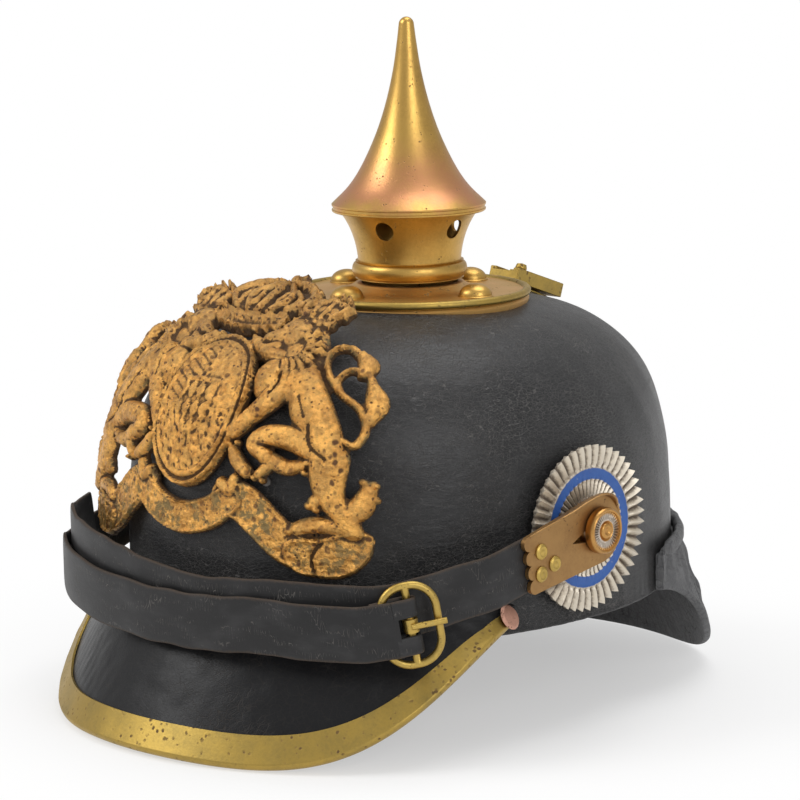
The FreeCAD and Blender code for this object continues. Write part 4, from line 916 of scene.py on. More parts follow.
# ---------------------------------------------------------------- spike, plate and spine
@dataclass
class Spike:
    """Cone, neck and bead ring, turned about the helmet's axis."""

    rim_radius: float = 29.3
    rim_height: float = 34.0
    band: float = 3.0
    cone_height: float = 70.0
    tip_radius: float = 2.9
    waist: float = 19.7
    neck_foot: float = 5.5
    bead_radius: float = 21.9
    bead_height: float = 6.6

    def cone(self) -> Array:
        """The closed underside, the banded rim, the concave side and the round tip."""
        rim, z = self.rim_radius, DOME.crown + self.rim_height
        side = np.array([(1.0, 0.0), (0.775, 0.095), (0.597, 0.209), (0.41, 0.378), (0.276, 0.547),
                         (0.182, 0.715), (0.128, 0.86), (0.099, 0.957)])
        line = smooth_line(side, 12) * [rim, self.cone_height] + [0, z]
        tip = np.linspace(0, np.pi / 2, 9)[1:]
        cap = np.stack([self.tip_radius * np.cos(tip), z + self.cone_height * (0.957 + 0.043 * np.sin(tip))],
                       -1)
        low = z - self.band
        edge = np.array([(0, low + 0.6), (24.8, low + 0.6), (25.0, low), (rim - 0.5, low),
                         (rim - 0.1, low + 0.35),
                         (rim - 0.05, low + 0.9), (rim - 0.4, low + 1.1), (rim - 0.4, z - 0.9),
                         (rim, z - 0.6),
                         (rim, z - 0.2)])
        return np.concatenate([edge, line, cap])

    def bead(self) -> Array:
        """The polished ring at the neck's foot: a flattened half circle with a step above and below."""
        z = DOME.crown + self.neck_foot + 0.3
        bend = np.linspace(-np.pi / 2, np.pi / 2, 17)
        middle, half = z + self.bead_height / 2, self.bead_height / 2 - 0.5
        reach = self.bead_radius - self.waist - 0.5
        bow = np.stack([self.waist + 0.5 + reach * np.cos(bend), middle + half * np.sin(bend)], -1)
        return np.concatenate([[(self.waist - 0.4, z), (self.waist + 0.9, z)], bow,
                               [(self.waist + 0.9, z + self.bead_height),
                                (self.waist - 0.4, z + self.bead_height)]])

    def build(self, shop: Workshop, finish: bpy.types.Material) -> None:
        """Makes the cone and the bead, and keeps the pierced neck's shape with smooth shading."""
        for name, profile, node in (("cone", self.cone(), "spike_cone"),
                                    ("neck_ring", self.bead(), "neck_bead")):
            points = turned(profile, 144)
            if node == "neck_bead":
                points = np.concatenate([points, points[:1]])
            shop.piece(name, points, grid_faces(*points.shape[:2]), finish, "spike_brass", stands_for=[node])
        shop.refined("spike_neck", "pierced_neck", finish, edge=0.2)


@dataclass
class BasePlate:
    """The round plate on the crown with its rolled rim, four domed studs and their collars."""

    radius: float = 46.0
    sheet: float = 1.2
    roll: tuple[float, float] = (1.62, 1.55)
    stud_circle: float = 34.0
    stud_radius: float = 6.7
    stud_dome: float = 5.0

    def plate(self) -> Array:
        """A low cone, a flat seat for the studs, a shallow fall and a rolled rim; closed below."""
        z = DOME.crown + 0.2
        top = smooth_line([(20.4, z + 3.9), (22.0, z + 2.8), (24.5, z + 1.6), (27.6, z + 1.0),
                           (34.0, z + 0.85),
                           (41.5, z + 0.6), (43.6, z + 0.9)], 6)
        bend = np.linspace(np.pi * 0.8, -np.pi / 2, 14)
        rim = np.stack([self.radius - 1.5 + 1.5 * np.cos(bend), z + 0.2 + 1.35 * np.sin(bend)], -1)
        below = np.array([(43.6, z - 4.6), (self.radius - 2.9, z - 4.4), (30.0, z - 0.9), (18.4, z - 0.9),
                          (18.4, z + 3.9)])
        return np.concatenate([top, rim, [(self.radius - 0.6, z - 2.4), (self.radius - 1.0, z - 5.2)], below])

    def stud(self, spot: Array) -> tuple[Array, Array]:
        """A stud's dome, a low ellipse with a fine collar, and the heights for its relief."""
        bend = np.linspace(0, np.pi / 2, 13)
        z = DOME.crown + 0.95
        dome = np.stack([self.stud_radius * 0.93 * np.cos(bend),
                         z + 0.7 + (self.stud_dome - 0.7) * np.sin(bend)], -1)
        foot = np.array([(0, z - 0.5), (self.stud_radius, z - 0.5), (self.stud_radius, z + 0.35),
                         (self.stud_radius * 0.97, z + 0.6)])
        return turned(np.concatenate([foot, dome]), 40) + [spot[0], spot[1], 0], bend

    def build(self, shop: Workshop, copper: bpy.types.Material, rim: bpy.types.Material,
              stud: bpy.types.Material, iron: bpy.types.Material) -> None:
        """Makes the plate, its rolled rim and the studs; the washers keep their CAD shape."""
        points = turned(self.plate(), 160)
        points = np.concatenate([points, points[:1]])
        wave = 0.22 * ripple(points, 26, 12) * ease((np.hypot(points[..., 0], points[..., 1]) - 24) / 8)
        points[..., 2] += np.minimum(wave, 0.2)
        points[:, -1] = points[:, 0]
        shop.piece("crown_plate", points, grid_faces(*points.shape[:2]), copper, "plate_copper",
                   stands_for=["base_plate"])
        around = np.linspace(0, 2 * np.pi, 19)
        wide, tall = self.roll
        roll = turned(np.stack([self.radius - 1.5 + wide * np.cos(around),
                                DOME.crown + 0.4 + tall * np.sin(around)], -1), 160)
        shop.piece("crown_plate_rim", roll, grid_faces(*roll.shape[:2]), rim, "trim_brass",
                   stands_for=["base_plate"])
        grids = [self.stud((self.stud_circle * math.sin(a), -self.stud_circle * math.cos(a)))[0]
                 for a in np.arange(4) * np.pi / 2]
        rows, cols = grids[0].shape[:2]
        faces = np.concatenate([grid_faces(rows, cols) + k * rows * cols for k in range(4)])
        shop.piece("crown_studs", np.stack(grids), faces, stud, "spike_brass", stands_for=["dome_studs"])
        shop.keep("stud_washers", iron)


@dataclass
class Spine:
    """The brass strip down the rear middle, its screw, and the sliding vent on it."""

    width: float = 9.0
    sheet: float = 1.2
    seat: float = 0.15

    def path(self) -> tuple[Array, Array]:
        """The rear middle line over dome, roll and visor, with the directions away from the leather."""
        top = DOME.top(0.0, 46.4)[2]
        foot = REAR.seam + 5.0
        height = foot + (top - foot) * np.cos(np.pi / 2 * np.linspace(0, 1, 64))
        line = DOME.point(np.full(64, np.pi), height)
        out = DOME.normal(line)
        f = REAR.frames(np.zeros(1))
        zed = np.array([0, 0, 1.0])
        ray, down, away = f["ray"][0], f["down"][0], f["out"][0]
        edge = f["outer"][0]
        over = [(edge + zed * 4.4 + ray * 0.6, unit(zed + ray * 0.6)), (edge + zed * 3.2 + ray * 2.0, ray),
                (edge - zed * 1.2 + ray * 2.0, ray), (edge - zed * 2.6 + ray * 1.4, ray)]
        steps = np.linspace(0.12, 1, 14)[:, None]
        drop = edge * (1 - steps) + (f["foot"][0] - down * 1.2) * steps + away * 0.25
        line = np.vstack([line, [p for p, _ in over], drop])
        out = np.vstack([out, [o for _, o in over], np.repeat(away[None], 14, 0)])
        return line + out * (self.seat + self.sheet / 2), unit(out)

    def build(self, shop: Workshop, brass: bpy.types.Material, iron: bpy.types.Material) -> None:
        """Sweeps a slightly crowned strip; the vent's parts keep their CAD shape with broken edges."""
        line, out = self.path()
        side = np.repeat(np.array([[1.0, 0, 0]]), len(line), 0)
        section = rounded_section(self.width / 2, self.sheet / 2, 32, 5.0)
        section[:, 1] += 0.35 * (1 - (section[:, 0] / (self.width / 2)) ** 2)
        points = closed_loop(capped(swept(line, side, out, section)))
        shop.piece("rear_strip", points, grid_faces(*points.shape[:2]), brass, "trim_brass",
                   stands_for=["rear_spine"])
        shop.refined("spine_screw", "rear_strip_screw", brass, edge=0.15)
        shop.refined("vent_housing", "vent_rails", brass, edge=0.3)
        shop.refined("vent_slide", "vent_door", brass, Body.VENT_COVER, edge=0.2)
        shop.refined("vent_knob", "vent_button", brass, Body.VENT_COVER, edge=0.0, sharp=50)
        for node in ("plate_posts", "plate_nuts", "post_nuts"):
            shop.keep(node, iron)


# ---------------------------------------------------------------- stamped front plate
@dataclass(frozen=True)
class Stroke:
    """One ridge of the relief: points of (across, up, half width) in mm, and how high it stands."""

    path: tuple[tuple[float, float, float], ...]
    height: float
    form: Form = Form.ROUND
    mirror: bool = True
    mass: bool = True

    def share(self, x: Array, v: Array) -> tuple[Array, Array]:
        """For each place, distance over half width and distance less half width, at the nearest segment."""
        line = smooth_line(self.path, 5) if len(self.path) > 2 else np.asarray(self.path, float)
        best = np.full(x.shape, 9.0)
        gap = np.full(x.shape, 99.0)
        for (ax, av, ar), (bx, bv, br) in zip(line[:-1], line[1:]):
            near = (np.abs(x - (ax + bx) / 2) < 16) & (np.abs(v - (av + bv) / 2) < 16)
            px, pv = x[near], v[near]
            size = (bx - ax) ** 2 + (bv - av) ** 2 + 1e-9
            t = np.clip(((px - ax) * (bx - ax) + (pv - av) * (bv - av)) / size, 0, 1)
            reach = np.hypot(px - ax - t * (bx - ax), pv - av - t * (bv - av))
            half = ar + t * (br - ar)
            best[near] = np.minimum(best[near], reach / half)
            gap[near] = np.minimum(gap[near], reach - half)
        return best, gap

    def rise(self, q: Array) -> Array:
        """Height over the sheet for a share of the half width, by the stroke's form."""
        inside = np.clip(1 - q * q, 0, 1)
        if self.form is Form.ROUND:
            return self.height * np.sqrt(inside)
        if self.form is Form.GROOVE:
            return -self.height * inside
        flat = self.height * ease((1 - q) / 0.18)
        if self.form is Form.RIM:
            flat = flat * (0.62 + 0.38 * ease((q - 0.68) / 0.1))
        return flat


def bead(x: float, v: float, half: float, height: float, mirror: bool = True) -> Stroke:
    """One round boss."""
    return Stroke(((x, v, half), (x + 0.05, v, half)), height, mirror=mirror)


@dataclass
class FrontPlate:
    """A stamped plate: a crowned oval shield between two crowned beasts, a swag and two ribbon ends."""

    step: float = 0.5
    sheet: float = 0.9
    gap: float = 0.5
    tilt: float = 25.0
    shield_at: float = 65.5
    shield_half: tuple[float, float] = (20.0, 28.3)
    stand_off: float = 0.0021
    seated_to: float = 55.0
    brow: float = 84.0
    squash: float = 1.35
    crown_lift: float = 3.0
    half_across: float = 68.0
    foot: float = 16.0
    top: float = 118.0
    halvings: int = 26

    def beast(self) -> list[Stroke]:
        """The beast on the wearer's left, facing the shield; the other is its mirror."""
        s = Stroke
        body = [
            s(((28, 95, 8), (31, 87, 9), (27, 79, 8.5)), 2.6),
            s(((24, 97, 6.2), (22, 98, 6)), 4.2), s(((19, 95, 4), (15.5, 93, 3)), 4.4),
            s(((20, 91, 2.6), (16.5, 89.5, 2)), 3.4), bead(29, 103, 2.2, 3.2),
            s(((25, 80, 7), (33, 80, 7.5), (38, 77, 6)), 3.6),
            s(((31, 78, 5.2), (27, 70, 3.8), (22, 63.5, 3)), 3.4), s(((22, 63, 3.2), (18.5, 59, 3.2)), 3.2),
            s(((23, 87, 3.4), (15, 89, 2.6), (10.5, 92, 2.8)), 3.4),
            s(((37, 80, 4.8), (42, 72, 6.6), (48.3, 64, 5.8), (51.5, 55, 5.4)), 4.4),
            s(((51, 58, 6.2), (53, 47, 4.4), (57, 41.5, 3.6), (59, 38, 3.4)), 3.8),
            s(((57, 41, 3.4), (61, 46, 3), (62.5, 52, 2)), 3.0), s(((53, 47, 2.6), (49.5, 43, 2)), 2.6),
            s(((58, 38, 3), (50, 36, 2.6), (45, 33, 2.2)), 2.6),
            s(((49, 59, 5), (40, 61, 4.2), (31.5, 60, 3.8), (28, 56, 3), (33, 53.5, 3)), 3.8),
            s(((33, 53, 3), (40, 51.5, 2.8), (44.5, 53.5, 1.8)), 2.8),
            s(((34, 50, 2.2), (31.5, 47, 1.8)), 2.6),
            s(((26.5, 47, 2.6), (22.5, 50, 2.8), (20.5, 53, 2)), 2.8),
        ]
        tail = [
            s(((53, 64.5, 1.3), (57, 63.8, 1.25), (58.4, 69.5, 1.2), (55.3, 75, 1.2), (48.5, 78.6, 1.15),
               (42.8, 83.4, 1.1), (39.4, 89.6, 1.1), (40, 94.2, 1.1), (44.2, 95.4, 1.2), (48.4, 93, 1.5)),
               2.4),
            s(((48.4, 93.4, 1.6), (51.6, 90, 3.0), (51.8, 85.8, 1.8)), 3.0),
            s(((48.5, 78.6, 1.1), (46, 82.5, 1.1), (48, 86.8, 1.1), (53, 86.4, 1.2), (56, 82, 1.6)), 2.4),
            s(((56, 82.2, 1.8), (58.6, 77.8, 3.1), (58.6, 72, 1.6)), 3.0)]
        claws = [bead(x, v, r, 2.6) for x, v, r in (
            (15.8, 61.5, 1.4), (15.6, 58.6, 1.4), (17.2, 56.2, 1.4), (8, 94, 1.4), (8.2, 91, 1.4),
            (10.4, 89.2, 1.3),
            (63.4, 53.8, 1.3), (61, 53.6, 1.3), (64, 49.6, 1.3), (48, 41.4, 1.3), (50, 41, 1.3),
            (46, 54.6, 1.2),
            (45.6, 51.4, 1.2), (30, 45.6, 1.2), (33, 45.4, 1.3), (19, 54.6, 1.2), (21.6, 55.6, 1.2),
            (43, 31.6, 1.2))]
        locks = []
        for k in range(13):
            a = math.radians(-100 + 17.5 * k)
            x0, v0 = 27 + 5.0 * math.cos(a), 90 + 5.4 * math.sin(a)
            reach = 8.6 + 1.6 * math.sin(2.2 * k)
            x1, v1 = 27.5 + reach * math.cos(a + 0.18), 88.5 + (reach + 1) * math.sin(a + 0.18)
            locks.append(s(((x0, v0, 1.0), ((x0 + x1) / 2 + 1.0, (v0 + v1) / 2 - 0.7, 1.45), (x1, v1, 0.9)),
                           4.6))
            locks.append(bead(x1 + 0.7, v1 - 0.9, 1.35, 3.9))
        marks = [s(((26, 84, 0.7), (29, 78, 0.6), (28, 73, 0.5)), 1.2, Form.GROOVE, mass=False),
                 s(((44, 66, 0.7), (46, 60, 0.7), (51, 57, 0.6)), 1.1, Form.GROOVE, mass=False),
                 s(((38, 74, 0.6), (42, 68, 0.6)), 0.9, Form.GROOVE, mass=False),
                 s(((17.5, 91.8, 0.45), (14.5, 91.2, 0.45)), 1.3, Form.GROOVE, mass=False),
                 bead(19.6, 97.6, 0.8, 5.0), bead(24.4, 96.4, 0.9, 5.1)]
        cap = [s(((21, 103, 2.0), (26.5, 104.4, 2.1), (32.5, 103.4, 2.0)), 3.6, Form.RIM),
               s(((22.5, 106.5, 3.2), (27.5, 109, 3.6), (31.5, 107, 3)), 2.8)]
        cap += [s(((x + 3.5, 104.4, 1.0), (y + 3.5, 109.4, 1.2), (27.5, 113.4 - 0.2 * abs(y - 24), 0.9)), 3.9)
                for x, y in ((18, 16.2), (21, 20.5), (24.5, 25.0), (28, 31))]
        cap += [bead(x + 3.5, v - 1.6, 1.2, 3.6) for x, v in ((15.4, 108), (15.8, 111), (18, 114), (24, 117),
                                                              (29, 114.4), (32, 111.4), (31.6, 108.4),
                                                              (27, 116.2), (21, 116))]
        return body + tail + claws + locks + marks + cap

    def crown(self) -> list[Stroke]:
        """The large crown: a jewelled band, five arches, pearled outer arches, an orb and small leaves."""
        s = Stroke
        strokes = [s(((-13.5, 101.4, 3.7), (0, 99.8, 3.9), (13.5, 101.4, 3.7)), 3.6, Form.RIM, mirror=False),
                   s(((-12, 111, 6), (0, 112, 7), (12, 111, 6)), 0.9, Form.FLAT, mirror=False),
                   s(((0, 105, 1.2), (0, 112, 1.5), (0, 119, 1.0)), 3.8, mirror=False),
                   s(((5.5, 105, 1.1), (9, 112, 1.5), (2, 119, 1.0)), 3.6),
                   s(((12, 106, 1.2), (18.2, 111.5, 1.8), (13, 118, 1.5), (3, 120, 1.0)), 3.6),
                   s(((7, 107, 0.9), (5, 110, 1.1), (6, 114, 0.8)), 3.0),
                   s(((12.5, 108, 0.9), (13, 112, 1.2), (8.5, 115.5, 0.8)), 2.8),
                   bead(0, 121.4, 2.2, 4.0, False),
                   s(((-2.2, 124.4, 0.7), (2.2, 124.4, 0.7)), 2.2, mirror=False),
                   s(((0, 122.5, 0.7), (0, 126, 0.7)), 2.2, mirror=False)]
        strokes += [bead(14.6 + 5.0 * math.sin(a), 110.8 + 6.8 * math.cos(a), 1.2, 2.9)
                    for a in np.radians(np.arange(-20, 150, 19))]
        strokes += [bead(x, 101.4 - 1.6 * math.cos(x / 9), 1.0, 5.0, False) for x in np.arange(-11, 12, 3.7)]
        return strokes

    def ribbons(self) -> list[Stroke]:
        """The blank swag under the shield and the folded ends that the beasts stand on."""
        s = Stroke
        return [s(((-21.5, 36.5, 5.2), (-12, 30, 5.6), (0, 27.2, 5.7), (12, 30, 5.6), (21.5, 36.5, 5.2)), 1.9,
                  Form.RIM, mirror=False),
                s(((20, 37, 6.3), (27, 36.2, 7), (34, 32, 7), (41, 27.4, 6.8), (48, 25.2, 6.2)), 1.5,
                  Form.RIM),
                s(((47, 25, 6.2), (54, 27, 6.3), (59, 32, 5), (62.5, 36.5, 2.2)), 2.1, Form.RIM),
                s(((51.5, 18.5, 0.6), (49.5, 25, 0.6), (52.5, 32, 0.6)), 1.2, Form.GROOVE, mass=False),
                s(((18, 41.5, 2.2), (21.5, 40, 2.6), (23, 44, 1.8)), 2.8)]

    def shield(self, x: Array, v: Array) -> tuple[Array, Array]:
        """The oval: a bowed field, a double rim, quarters, rays, a small lozenged shield, and its gap."""
        ux, uv = x / self.shield_half[0], (v - self.shield_at) / self.shield_half[1]
        q = np.hypot(ux, uv)
        gap = (q - 1) * self.shield_half[0]
        rise = 2.2 + 1.6 * np.clip(1 - q * q, 0, 1)
        rise = rise + 1.1 * np.exp(-((q - 0.955) / 0.028) ** 2) + 0.9 * np.exp(-((q - 0.84) / 0.022) ** 2)
        rise = rise - 0.7 * np.exp(-((q - 0.9) / 0.022) ** 2)
        field_part = ease((0.80 - q) / 0.05)
        cross = np.exp(-(x / 0.55) ** 2) + np.exp(-((v - self.shield_at + 1) / 0.55) ** 2)
        rays = np.maximum(0, np.sin(v * 0.95 + np.abs(x - 9) * 0.55)) * (x > 1) * (v > self.shield_at)
        rays = rays * np.clip((x - 1) / 12, 0, 1)
        weave = np.sign(np.sin((x + 0.62 * v) * 0.8) * np.sin((x - 0.62 * v) * 0.8))
        hatch = 0.35 * np.sin((x * 0.5 + v) * 1.9) * (x < 0) * (v > self.shield_at)
        lower = 0.5 * ripple(np.stack([x * 1.4, v, 0 * x], -1), 5.0, 31) * (v < self.shield_at)
        small = np.maximum(np.abs(x) / 7.6,
                           np.where(v > 66, (v - 66) / 8.4, np.hypot(x / 7.6, (v - 66) / 11)))
        inner = ease((1 - small) / 0.12)
        lozenge = 0.45 * weave * inner * ease((0.86 - small) / 0.06)
        rise = rise + field_part * (0.55 * np.clip(cross, 0, 1) + 0.55 * rays + hatch + lower) * (1 - inner)
        return rise + inner * 1.0 + 0.7 * np.exp(-((small - 0.96) / 0.05) ** 2) * field_part + lozenge, gap

    def drawn(self, v: Array) -> Array:
        """Heights as they are drawn: above the brow the drawing is pressed together on the dome."""
        return np.where(v > self.brow, self.brow + (v - self.brow) * self.squash, v)

    def field(self, x: Array, v: Array, detail: bool = True) -> tuple[Array, Array]:
        """Relief height and distance outside the plate's outline for places in its own plane.

        Args:
            x: across, in mm.
            v: up the plate, in mm.
            detail: whether the relief is worked out, or only the outline.

        Returns:
            The height over the sheet and the gap to the outline.
        """
        v = self.drawn(v)
        rise, gap = self.shield(x, v)
        rise = np.where(gap < 0, rise, 0.0)
        grooves = np.zeros_like(rise)
        for stroke in [*self.ribbons(), *self.crown(), *self.beast()]:
            for sign in ((1, -1) if stroke.mirror else (1,)):
                if not detail and not stroke.mass:
                    continue
                q, away = stroke.share(x * sign, v)
                if stroke.form is Form.GROOVE:
                    grooves += np.where(q < 1, stroke.rise(q), 0)
                    continue
                gap = np.minimum(gap, away)
                if detail:
                    rise = np.maximum(rise, np.where(q < 1, stroke.rise(np.minimum(q, 1)), 0))
        return rise + grooves, gap

    @staticmethod
    def crevices(rise: Array, reach: int = 3) -> Array:
        """How far each place of the relief lies below the mean of its neighbours, from 0 to 1."""
        mean = rise
        for axis in (0, 1):
            mean = sum(np.roll(mean, k, axis) for k in range(-reach, reach + 1)) / (2 * reach + 1)
        return np.clip((mean - rise) / 0.75, 0, 1)

    def seat_points(self, x: Array, v: Array) -> Array:
        """Where the plate's sheet lies: each place is pushed along the tilt until it meets the dome."""
        c, s = math.cos(math.radians(90 - self.tilt)), math.sin(math.radians(90 - self.tilt))
        low, high = np.full(x.shape, 40.0), np.full(x.shape, 170.0)
        for _ in range(self.halvings):
            w = (low + high) / 2
            y, z = v * c - w * s, v * s + w * c
            spread = (x / DOME.half_width) ** 2 + ((y + DOME.forward) / DOME.half_length) ** 2
            level = np.clip((z - DOME.base) / DOME.rise, 0, 1.2)
            inside = spread**1.5 + level**4 < 1
            low, high = np.where(inside, w, low), np.where(inside, high, w)
        return np.stack([x, v * c - w * s, v * s + w * c], -1)

    def build(self, shop: Workshop, finish: bpy.types.Material) -> None:
        """Cuts a grid along the outline, raises the relief on it and closes it behind.

        The grid's outer points are drawn onto the outline in two steps along the gap's slope. The
        back follows the front's relief, so the plate is a sheet, and walls join the two at the rim.
        """
        xs = np.arange(-self.half_across, self.half_across + 0.1, self.step)
        vs = np.arange(self.foot, self.top + 0.1, self.step)
        x, v = np.meshgrid(xs, vs)
        _, gap = self.field(x, v, detail=False)
        inside = gap < 0
        cell = inside[:-1, :-1] | inside[1:, :-1] | inside[:-1, 1:] | inside[1:, 1:]
        rows, cols = x.shape
        faces = grid_faces(rows, cols)[cell.ravel()]
        used, numbers = np.unique(faces, return_inverse=True)
        faces = numbers.reshape(faces.shape)
        px, pv, out = x.ravel()[used], v.ravel()[used], gap.ravel()[used]
        for _ in range(2):
            off = out > 0
            ox, ov = px[off], pv[off]
            here = self.field(ox, ov, False)[1]
            gx = self.field(ox + 0.1, ov, False)[1] - here
            gv = self.field(ox, ov + 0.1, False)[1] - here
            slope = np.maximum(np.hypot(gx, gv), 0.03)
            px[off] -= np.clip(here, -0.5, 0.5) * gx / slope
            pv[off] -= np.clip(here, -0.5, 0.5) * gv / slope
        rise, edge = self.field(px, pv)
        rise = 0.25 + rise * ease(-edge / 0.9) ** 0.5
        flat = np.stack([px, pv, 0 * px], -1)
        rise += (0.14 * ripple(flat, 1.7, 17) + 0.16 * ripple(flat, 3.1, 23)) * ease(-edge / 0.8)
        seat = self.seat_points(px, pv)
        normal = DOME.normal(seat)
        lift = self.gap + self.stand_off * (px**2 + np.maximum(pv - self.seated_to, 0) ** 2)
        lift += self.crown_lift * ease((pv - self.brow) / 24)
        front = seat + normal * (lift + rise + self.sheet)[:, None]
        back = seat + normal * (lift + np.maximum(rise - 0.4, 0) * 0.75)[:, None]
        count = len(front)
        pairs = np.concatenate([faces[:, [k, (k + 1) % 4]] for k in range(4)])
        key = np.sort(pairs, 1)
        _, first, times = np.unique(key, axis=0, return_index=True, return_counts=True)
        rim = pairs[first[times == 1]]
        walls = np.stack([rim[:, 1], rim[:, 0], rim[:, 0] + count, rim[:, 1] + count], -1)
        every = np.concatenate([faces, faces[:, ::-1] + count, walls])
        relief = np.clip(rise / 4.0, 0, 1)
        crevice = self.crevices(self.field(x, v)[0]).ravel()[used]
        shop.piece("stamped_plate", np.concatenate([front, back]), every, finish, "badge_brass",
                   stands_for=["front_plate"], sharp=70,
                   marks={"relief": np.tile(relief, 2), "crevice": np.tile(crevice, 2)})


# ---------------------------------------------------------------- side fittings
@dataclass
class SideFittings:
    """On each side a pleated rosette, a headed post and the strap's lug with its rivets."""

    rosette: float = 30.5
    pleats: int = 46
    scallop: float = 1.5
    sheet: float = 1.6
    collar: float = 3.2
    lug_sheet: float = 1.7
    head: float = 8.5
    head_length: float = 4.0
    play: float = 0.4
    rivet: float = 2.8
    rivets: tuple[tuple[float, float], ...] = ((25.5, 3.4), (33.0, 4.6), (31.5, -3.4))
    fall: float = math.atan2(24.0, 122.5)

    @property
    def back(self) -> float:
        """Where the rosette's back sits, along the post from the helmet's middle."""
        return DOME.half_width + 0.15

    @property
    def lug_back(self) -> float:
        """Where the lug's back sits."""
        return self.back + self.sheet + self.collar

    def out_frame(self, points: Array, side: Side) -> Array:
        """Points with the post as their Z axis, put on a side; X runs forward with the strap, falling."""
        way = np.array([side.value, 0, 0.0])
        ahead = np.array([0, -math.cos(self.fall), -math.sin(self.fall)])
        return framed(points, np.array([0, -POST_AHEAD, POST_HEIGHT]), ahead, np.cross(way, ahead), way)

    def rosette_grid(self) -> tuple[Array, Array, Array]:
        """A disc whose radius and height ride on pleats: |pleat| is a triangle wave of the angle.

        Returns:
            Points about the post, UV pairs with V the radius share, and the relief mark.
        """
        angle = np.linspace(0, 2 * np.pi, self.pleats * 12 + 1)
        wave = np.abs(((angle * self.pleats / (2 * np.pi)) % 1.0) * 2 - 1)
        wave = wave**0.8
        fine = np.abs(((angle * self.pleats / (2 * np.pi)) % 1.0) * 2 - 1) ** 0.6
        share = np.concatenate([np.linspace(0.20, 0.36, 5), np.linspace(0.37, 0.58, 16),
                                np.linspace(0.59, 0.70, 5),
                                np.linspace(0.71, 1.0, 24)])[:, None]
        outer = ease((share - 0.70) / 0.10)
        inner = ease((share - 0.36) / 0.04) * ease((0.60 - share) / 0.03)
        flat = self.sheet + 0.25 * np.exp(-((share - 0.585) / 0.012) ** 2)
        flat = flat + 0.25 * np.exp(-((share - 0.715) / 0.012) ** 2)
        height = flat + outer * (wave - 0.55) * 2.9 * (0.5 + 0.5 * share) + inner * (fine - 0.7) * 1.3
        height = height - 0.35 * outer * ease((share - 0.93) / 0.07)
        height = np.maximum(height, 0.5)
        radius = share * self.rosette - outer * (1 - wave) * self.scallop * ease((share - 0.8) / 0.2)
        mark = 0.5 + outer * (wave - 0.5) + inner * (fine - 0.5)
        front = np.stack([radius * np.cos(angle), radius * np.sin(angle), height + self.back], -1)
        rim = front[-1:].copy()
        rim[..., 2] -= 0.5
        behind = front[::-1].copy()
        behind[..., 2] = self.back + 0.02
        behind[0, :, 2] = np.maximum(rim[0, :, 2] - 0.3, self.back)
        points = np.concatenate([front, behind])
        uv = np.stack(np.broadcast_arrays(angle[None, :] / (2 * np.pi), share), -1)
        return points, np.concatenate([uv, uv[::-1]]), np.concatenate([mark, np.full_like(mark, 0.4)])

    def post_head(self) -> tuple[Array, Array, Array]:
        """The headed post turned about its axis, with fine radial ribs on the face and a dished boss."""
        start = DOME.half_width - 7.6
        face = self.lug_back + self.lug_sheet + self.play + self.head_length
        near = self.lug_back - 0.15
        body = np.array([(0.0, start), (5.6, start), (5.98, start + 0.5), (5.98, self.back + self.sheet),
                         (9.0, self.back + self.sheet), (9.0, near), (5.98, near),
                         (5.98, face - self.head_length),
                         (self.head - 0.4, face - self.head_length),
                         (self.head, face - self.head_length + 0.5),
                         (self.head, face - 1.4), (self.head - 0.25, face - 0.6),
                         (self.head - 0.8, face - 0.15),
                         (self.head - 1.35, face - 0.35)])
        dish = smooth_line([(7.0, face - 0.9), (6.0, face - 1.2), (5.0, face - 1.15), (4.3, face - 1.0),
                            (3.7, face - 0.9), (3.1, face - 1.4), (2.8, face - 0.7), (2.3, face - 0.35),
                            (1.5, face - 0.3), (0.9, face - 0.8), (0.0, face - 0.9)], 4)
        profile = np.concatenate([body, dish])
        angle = np.linspace(0, 2 * np.pi, 289)
        radius, height = profile[:, :1], profile[:, 1:]
        ribs = ease((7.2 - radius) / 0.5) * ease((radius - 3.9) / 0.5) * (np.arange(len(profile)) > 13)[:,
                                                                                                        None]
        wave = np.cos(angle * 36)
        height = height + ribs * 0.35 * wave
        points = np.stack([radius * np.cos(angle), radius * np.sin(angle), height + 0 * angle], -1)
        uv = np.stack(np.broadcast_arrays(angle[None] / (2 * np.pi), radius / self.head), -1)
        return points, uv, 0.5 + ribs * 0.5 * wave

    def rivet_grid(self, spot: tuple[float, float]) -> Array:
        """A flat-headed rivet with a raised ring: turned about its own axis."""
        z, r = self.lug_back + self.lug_sheet, self.rivet
        profile = np.array([(0, z - 1.0), (1.5, z - 1.0), (1.5, z + 0.02), (r, z + 0.02), (r + 0.1, z + 0.45),
                            (r - 0.3, z + 0.95), (r - 0.9, z + 1.15), (r - 1.3, z + 0.95), (0.9, z + 0.95),
                            (0.6, z + 1.1), (0.0, z + 1.15)])
        return turned(profile, 36) + [spot[0], spot[1], 0]

